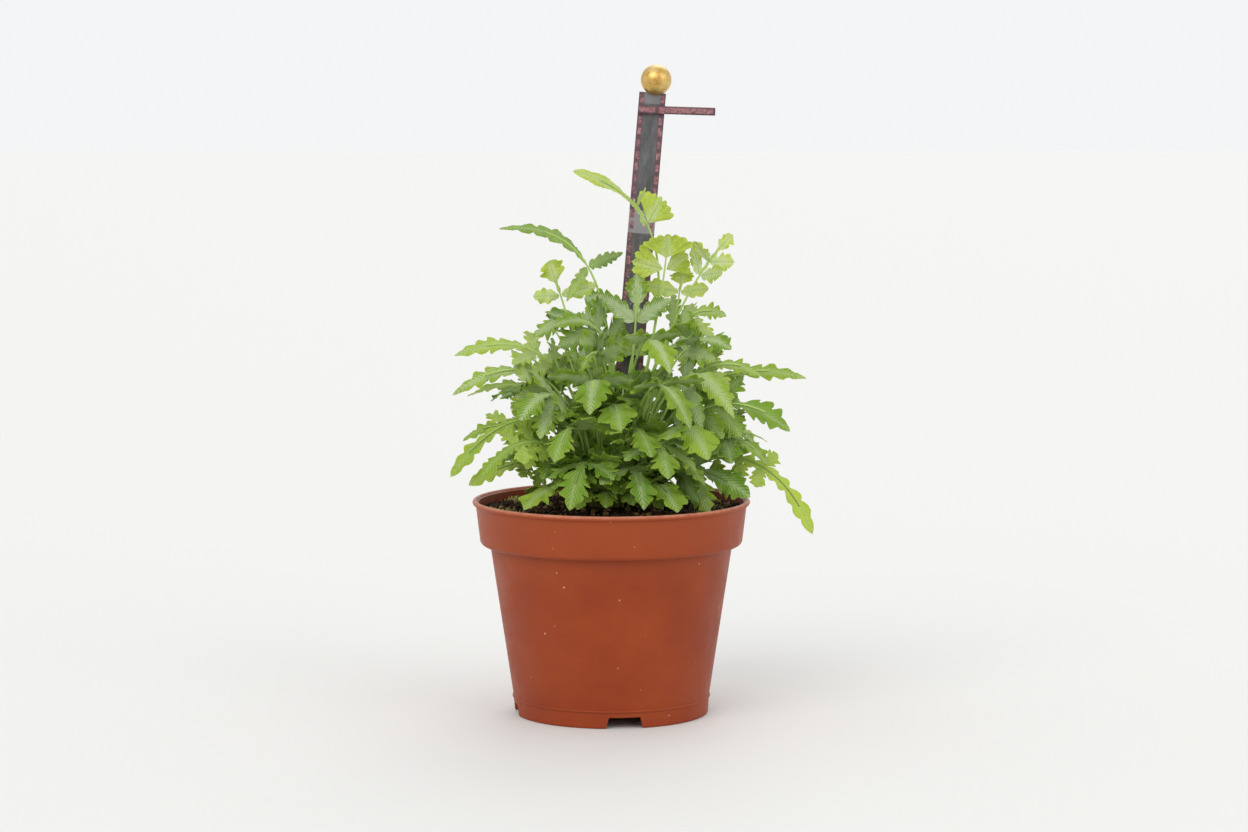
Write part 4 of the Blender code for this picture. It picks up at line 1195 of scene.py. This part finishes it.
# the leafy part of a frond: side leaflets, then one blade that runs as a narrow wing
# along the stalk and widens into the end leaflet
def addLeaves(bm, frond, shape):
    number = frond["number"]
    # the pale streak is strongest on the upper fronds: painted sheen where the light falls on the top of the
    # plant, over the leaf's own variegation
    streakAndSheen = shape["pale"] + 0.2 * jitter(number, 60) + 0.25 * (frond["tip"][2] - 45) / 45
    kind = frond["kind"]
    for i, axis in enumerate(frond["leaflets"]):
        half = axis["half"] * foliage["widen"]
        seed = number * 10 + i

        def frameAt(share):
            return leafletFrame(axis, share)

        if shape is leafShapes["fan"] or axis["half"] > 1.5 * kind["half"]:
            addFan(bm, frameAt, axis["length"], half * foliage["fanWiden"], seed, streakAndSheen)
        else:
            addBlade(bm, frameAt, lambda share: half * outlineWidth(shape, share),
                     shape, shape["lobes"], axis["length"], seed, streakAndSheen)

    seed = number * 10 + 9
    start, end = frond["bladeStart"], frond["end"]
    joint = (end - start) / (1 - start)
    half = kind["endHalf"] * foliage["widen"]
    if shape is leafShapes["fan"]:
        addFan(bm, lambda share: stalkFrame(frond, end + (1 - end) * share), frond["length"] * (1 - end),
               half * foliage["fanWiden"], seed, streakAndSheen)
        return

    def widthAt(share):
        if share < joint:
            return shape["wing"] * smoothStep(0, 0.12, share)
        inner = (share - joint) / (1 - joint)
        return max(shape["wing"] * (1 - inner), half * outlineWidth(shape, inner))

    addBlade(bm, lambda share: stalkFrame(frond, start + (1 - start) * share), widthAt, shape,
             shape["lobes"] / (1 - joint), frond["length"] * (1 - start), seed, streakAndSheen)


# fern leaf: thin, satin and translucent; the midrib and the ground beside it are paler
# and feather out along the side veins, a pale streak that is partly variegation and partly painted sheen;
# the margin is a touch yellower
def leafLook(name, deep, fresh, pale, through):
    look, tree = newMaterial(name)
    place = placeOn(tree)
    leafMap = addNode(tree, "ShaderNodeAttribute", attribute_name="leafMap").outputs["Vector"]
    leafTone = addNode(tree, "ShaderNodeAttribute", attribute_name="leafTone").outputs["Vector"]
    parts = addNode(tree, "ShaderNodeSeparateXYZ", {0: leafMap})
    along, across, reach = parts.outputs["X"], parts.outputs["Y"], parts.outputs["Z"]
    tones = addNode(tree, "ShaderNodeSeparateXYZ", {0: leafTone})
    tone, share, streakAndSheen = tones.outputs["X"], tones.outputs["Y"], tones.outputs["Z"]
    patch = mottled(tree, place, 7, 4.0, 0.6)
    shift = maths(tree, "ADD", patch, tone)
    shift = ranged(tree, shift, 0.35, 1.5)
    green = blended(tree, shift, hexColour(deep), hexColour(fresh))
    # side veins, leaning forward
    lean = maths(tree, "MULTIPLY_ADD", across, -0.9, along)
    wave = maths(tree, "MULTIPLY", lean, math.tau / foliage["veinPitch"])
    vein = maths(tree, "SINE", wave)
    veinFac = ranged(tree, vein, 0.1, 1.0, high=0.26)
    veined = blended(tree, veinFac, green, hexColour(pale))
    # the pale streak, partly variegation and partly painted sheen: widest in the lower half of a leaflet,
    # broken up by its veins
    feather = mottled(tree, place, 1.5, 4.0, 0.65)
    spreadOut = ranged(tree, share, 0.15, 0.95, 8.5, 3.6)
    edge = maths(tree, "MULTIPLY", feather, spreadOut)
    edge = maths(tree, "SUBTRACT", edge, across)
    edge = maths(tree, "MULTIPLY_ADD", vein, 0.8, edge)
    edge = ranged(tree, edge, 0.0, 1.8)
    strength = ranged(tree, streakAndSheen, 0.15, 0.95, 0.10, 0.80)
    streakSheenFac = maths(tree, "MULTIPLY", edge, strength)
    streakSheenColour = blended(tree, streakSheenFac, veined, hexColour("#dfe8c8"))
    rib = ranged(tree, across, 0.45, 0.15, high=0.55)
    ribbed = blended(tree, rib, streakSheenColour, hexColour("#b4c97e"))
    margin = ranged(tree, reach, 0.82, 1.0, high=0.4)
    colour = blended(tree, margin, ribbed, hexColour(fresh))
    rise = raised(tree, vein, 0.4, 0.2)
    rough = ranged(tree, feather, 0.3, 0.7, 0.38, 0.55)
    surface = addNode(tree, "ShaderNodeBsdfPrincipled", {
        "Base Color": colour, "Roughness": rough, "Normal": rise, "IOR": 1.42, "Specular IOR Level": 0.45})
    glow = addNode(tree, "ShaderNodeBsdfTranslucent", {"Color": colour, "Normal": rise})
    mixed = addNode(tree, "ShaderNodeMixShader", {0: through, 1: surface.outputs[0], 2: glow.outputs[0]})
    addNode(tree, "ShaderNodeOutputMaterial", {"Surface": mixed.outputs[0]})
    return look


# stalk: smooth pale green, browner near the soil
def stalkLook():
    look, tree = newMaterial("greenStalk")
    place = placeOn(tree)
    height = addNode(tree, "ShaderNodeSeparateXYZ", {0: place}).outputs["Z"]
    age = ranged(tree, height, potLow.z + (soilTop - 2) * mm, potLow.z + (soilTop + 45) * mm)
    colour = toned(tree, age, (0.0, "#5d4a22"), (0.35, "#6f8a32"), (1.0, "#a2be5c"))
    addSurface(tree, {"Base Color": colour, "Roughness": 0.42})
    return look


leafLooks = {
    "young": leafLook("youngFernLeaf", "#a8c132", "#d3e163", "#dbe697", 0.42),
    "fresh": leafLook("freshFernLeaf", "#89ac21", "#bfd44b", "#c8da72", 0.40),
    "mature": leafLook("matureFernLeaf", "#64931c", "#a4c23a", "#bacf66", 0.38),
}
stalks = stalkLook()


def makeFronds():
    for number, (kindName, bend, tip, blade, roll) in enumerate(plan):
        node = f"frond_{number + 1:02d}"
        frond = {"number": number, "kind": leafKinds[kindName], "bend": bend, "tip": tip,
                 "blade": blade, "roll": math.radians(roll)}
        readGrowth(frond, node)
        shape = leafShapes[kindName]
        bm = bmesh.new()
        if kindName == "crozier":
            addStalk(bm, frond, 1.0)
            addCrozier(bm, frond)
        else:
            addLeaves(bm, frond, shape)
            addStalk(bm, frond, (1 + frond["end"]) / 2)
        looks = [leafLooks[leafGreens[kindName]], stalks]
        finishPiece(f"fernFrond{number + 1:02d}", bm, looks, node, 50)


# short fronds that fill the plant: most spiral out from the crown, the last lie low in front
def makeSprouts():
    golden = math.pi * (3 - math.sqrt(5))
    count, low, each = foliage["sproutCount"], foliage["lowSprouts"], foliage["sproutsPerPiece"]
    centre = (crown["low"] + crown["high"]) / 2 / mm
    bm = bmesh.new()
    for i in range(count + low):
        share = (i + 0.5) / count
        angle = i * golden
        reach = 12 + 30 * math.sqrt(share)
        height = 18 + 52 * (0.5 + 0.5 * jitter(i, 70)) * (1 - 0.35 * share)
        if i >= count:
            share = 1.0
            angle = math.radians(-90 + 128 * ((i - count + 0.5) / low - 0.5)) + 0.08 * jitter(i, 72)
            reach = 37 + 5 * jitter(i, 73)
            height = 11 + 7 * jitter(i, 74)
        ahead = Vector((math.cos(angle), math.sin(angle), 0))
        bud = Vector((centre.x, centre.y, soilTop + 3)) + ahead * (5 + 9 * share)
        frond = {
            "number": 100 + i, "kind": leafKinds["sprout"], "blade": 22 + 5 * jitter(i, 71), "roll": 0.0,
            "bend": ahead * reach * 0.62 + up * (height + 12), "tip": ahead * reach + up * height,
        }
        placeStalk(frond, bud, 0, 0)
        frond["leaflets"] = [
            leafletAxis(frond, pair, hand, 1.0, 0, 0) for pair in (0, 1) for hand in (1, -1)]
        addLeaves(bm, frond, leafShapes["sprout"])
        addStalk(bm, frond, (1 + frond["end"]) / 2)
        if i % each == each - 1 or i == count + low - 1:
            looks = [leafLooks["mature"], stalks]
            finishPiece(f"fernSprouts{i // each + 1}", bm, looks, None, 50)
            bm = bmesh.new()


makeFronds()
print("fronds done")
makeSprouts()
print("sprouts done")
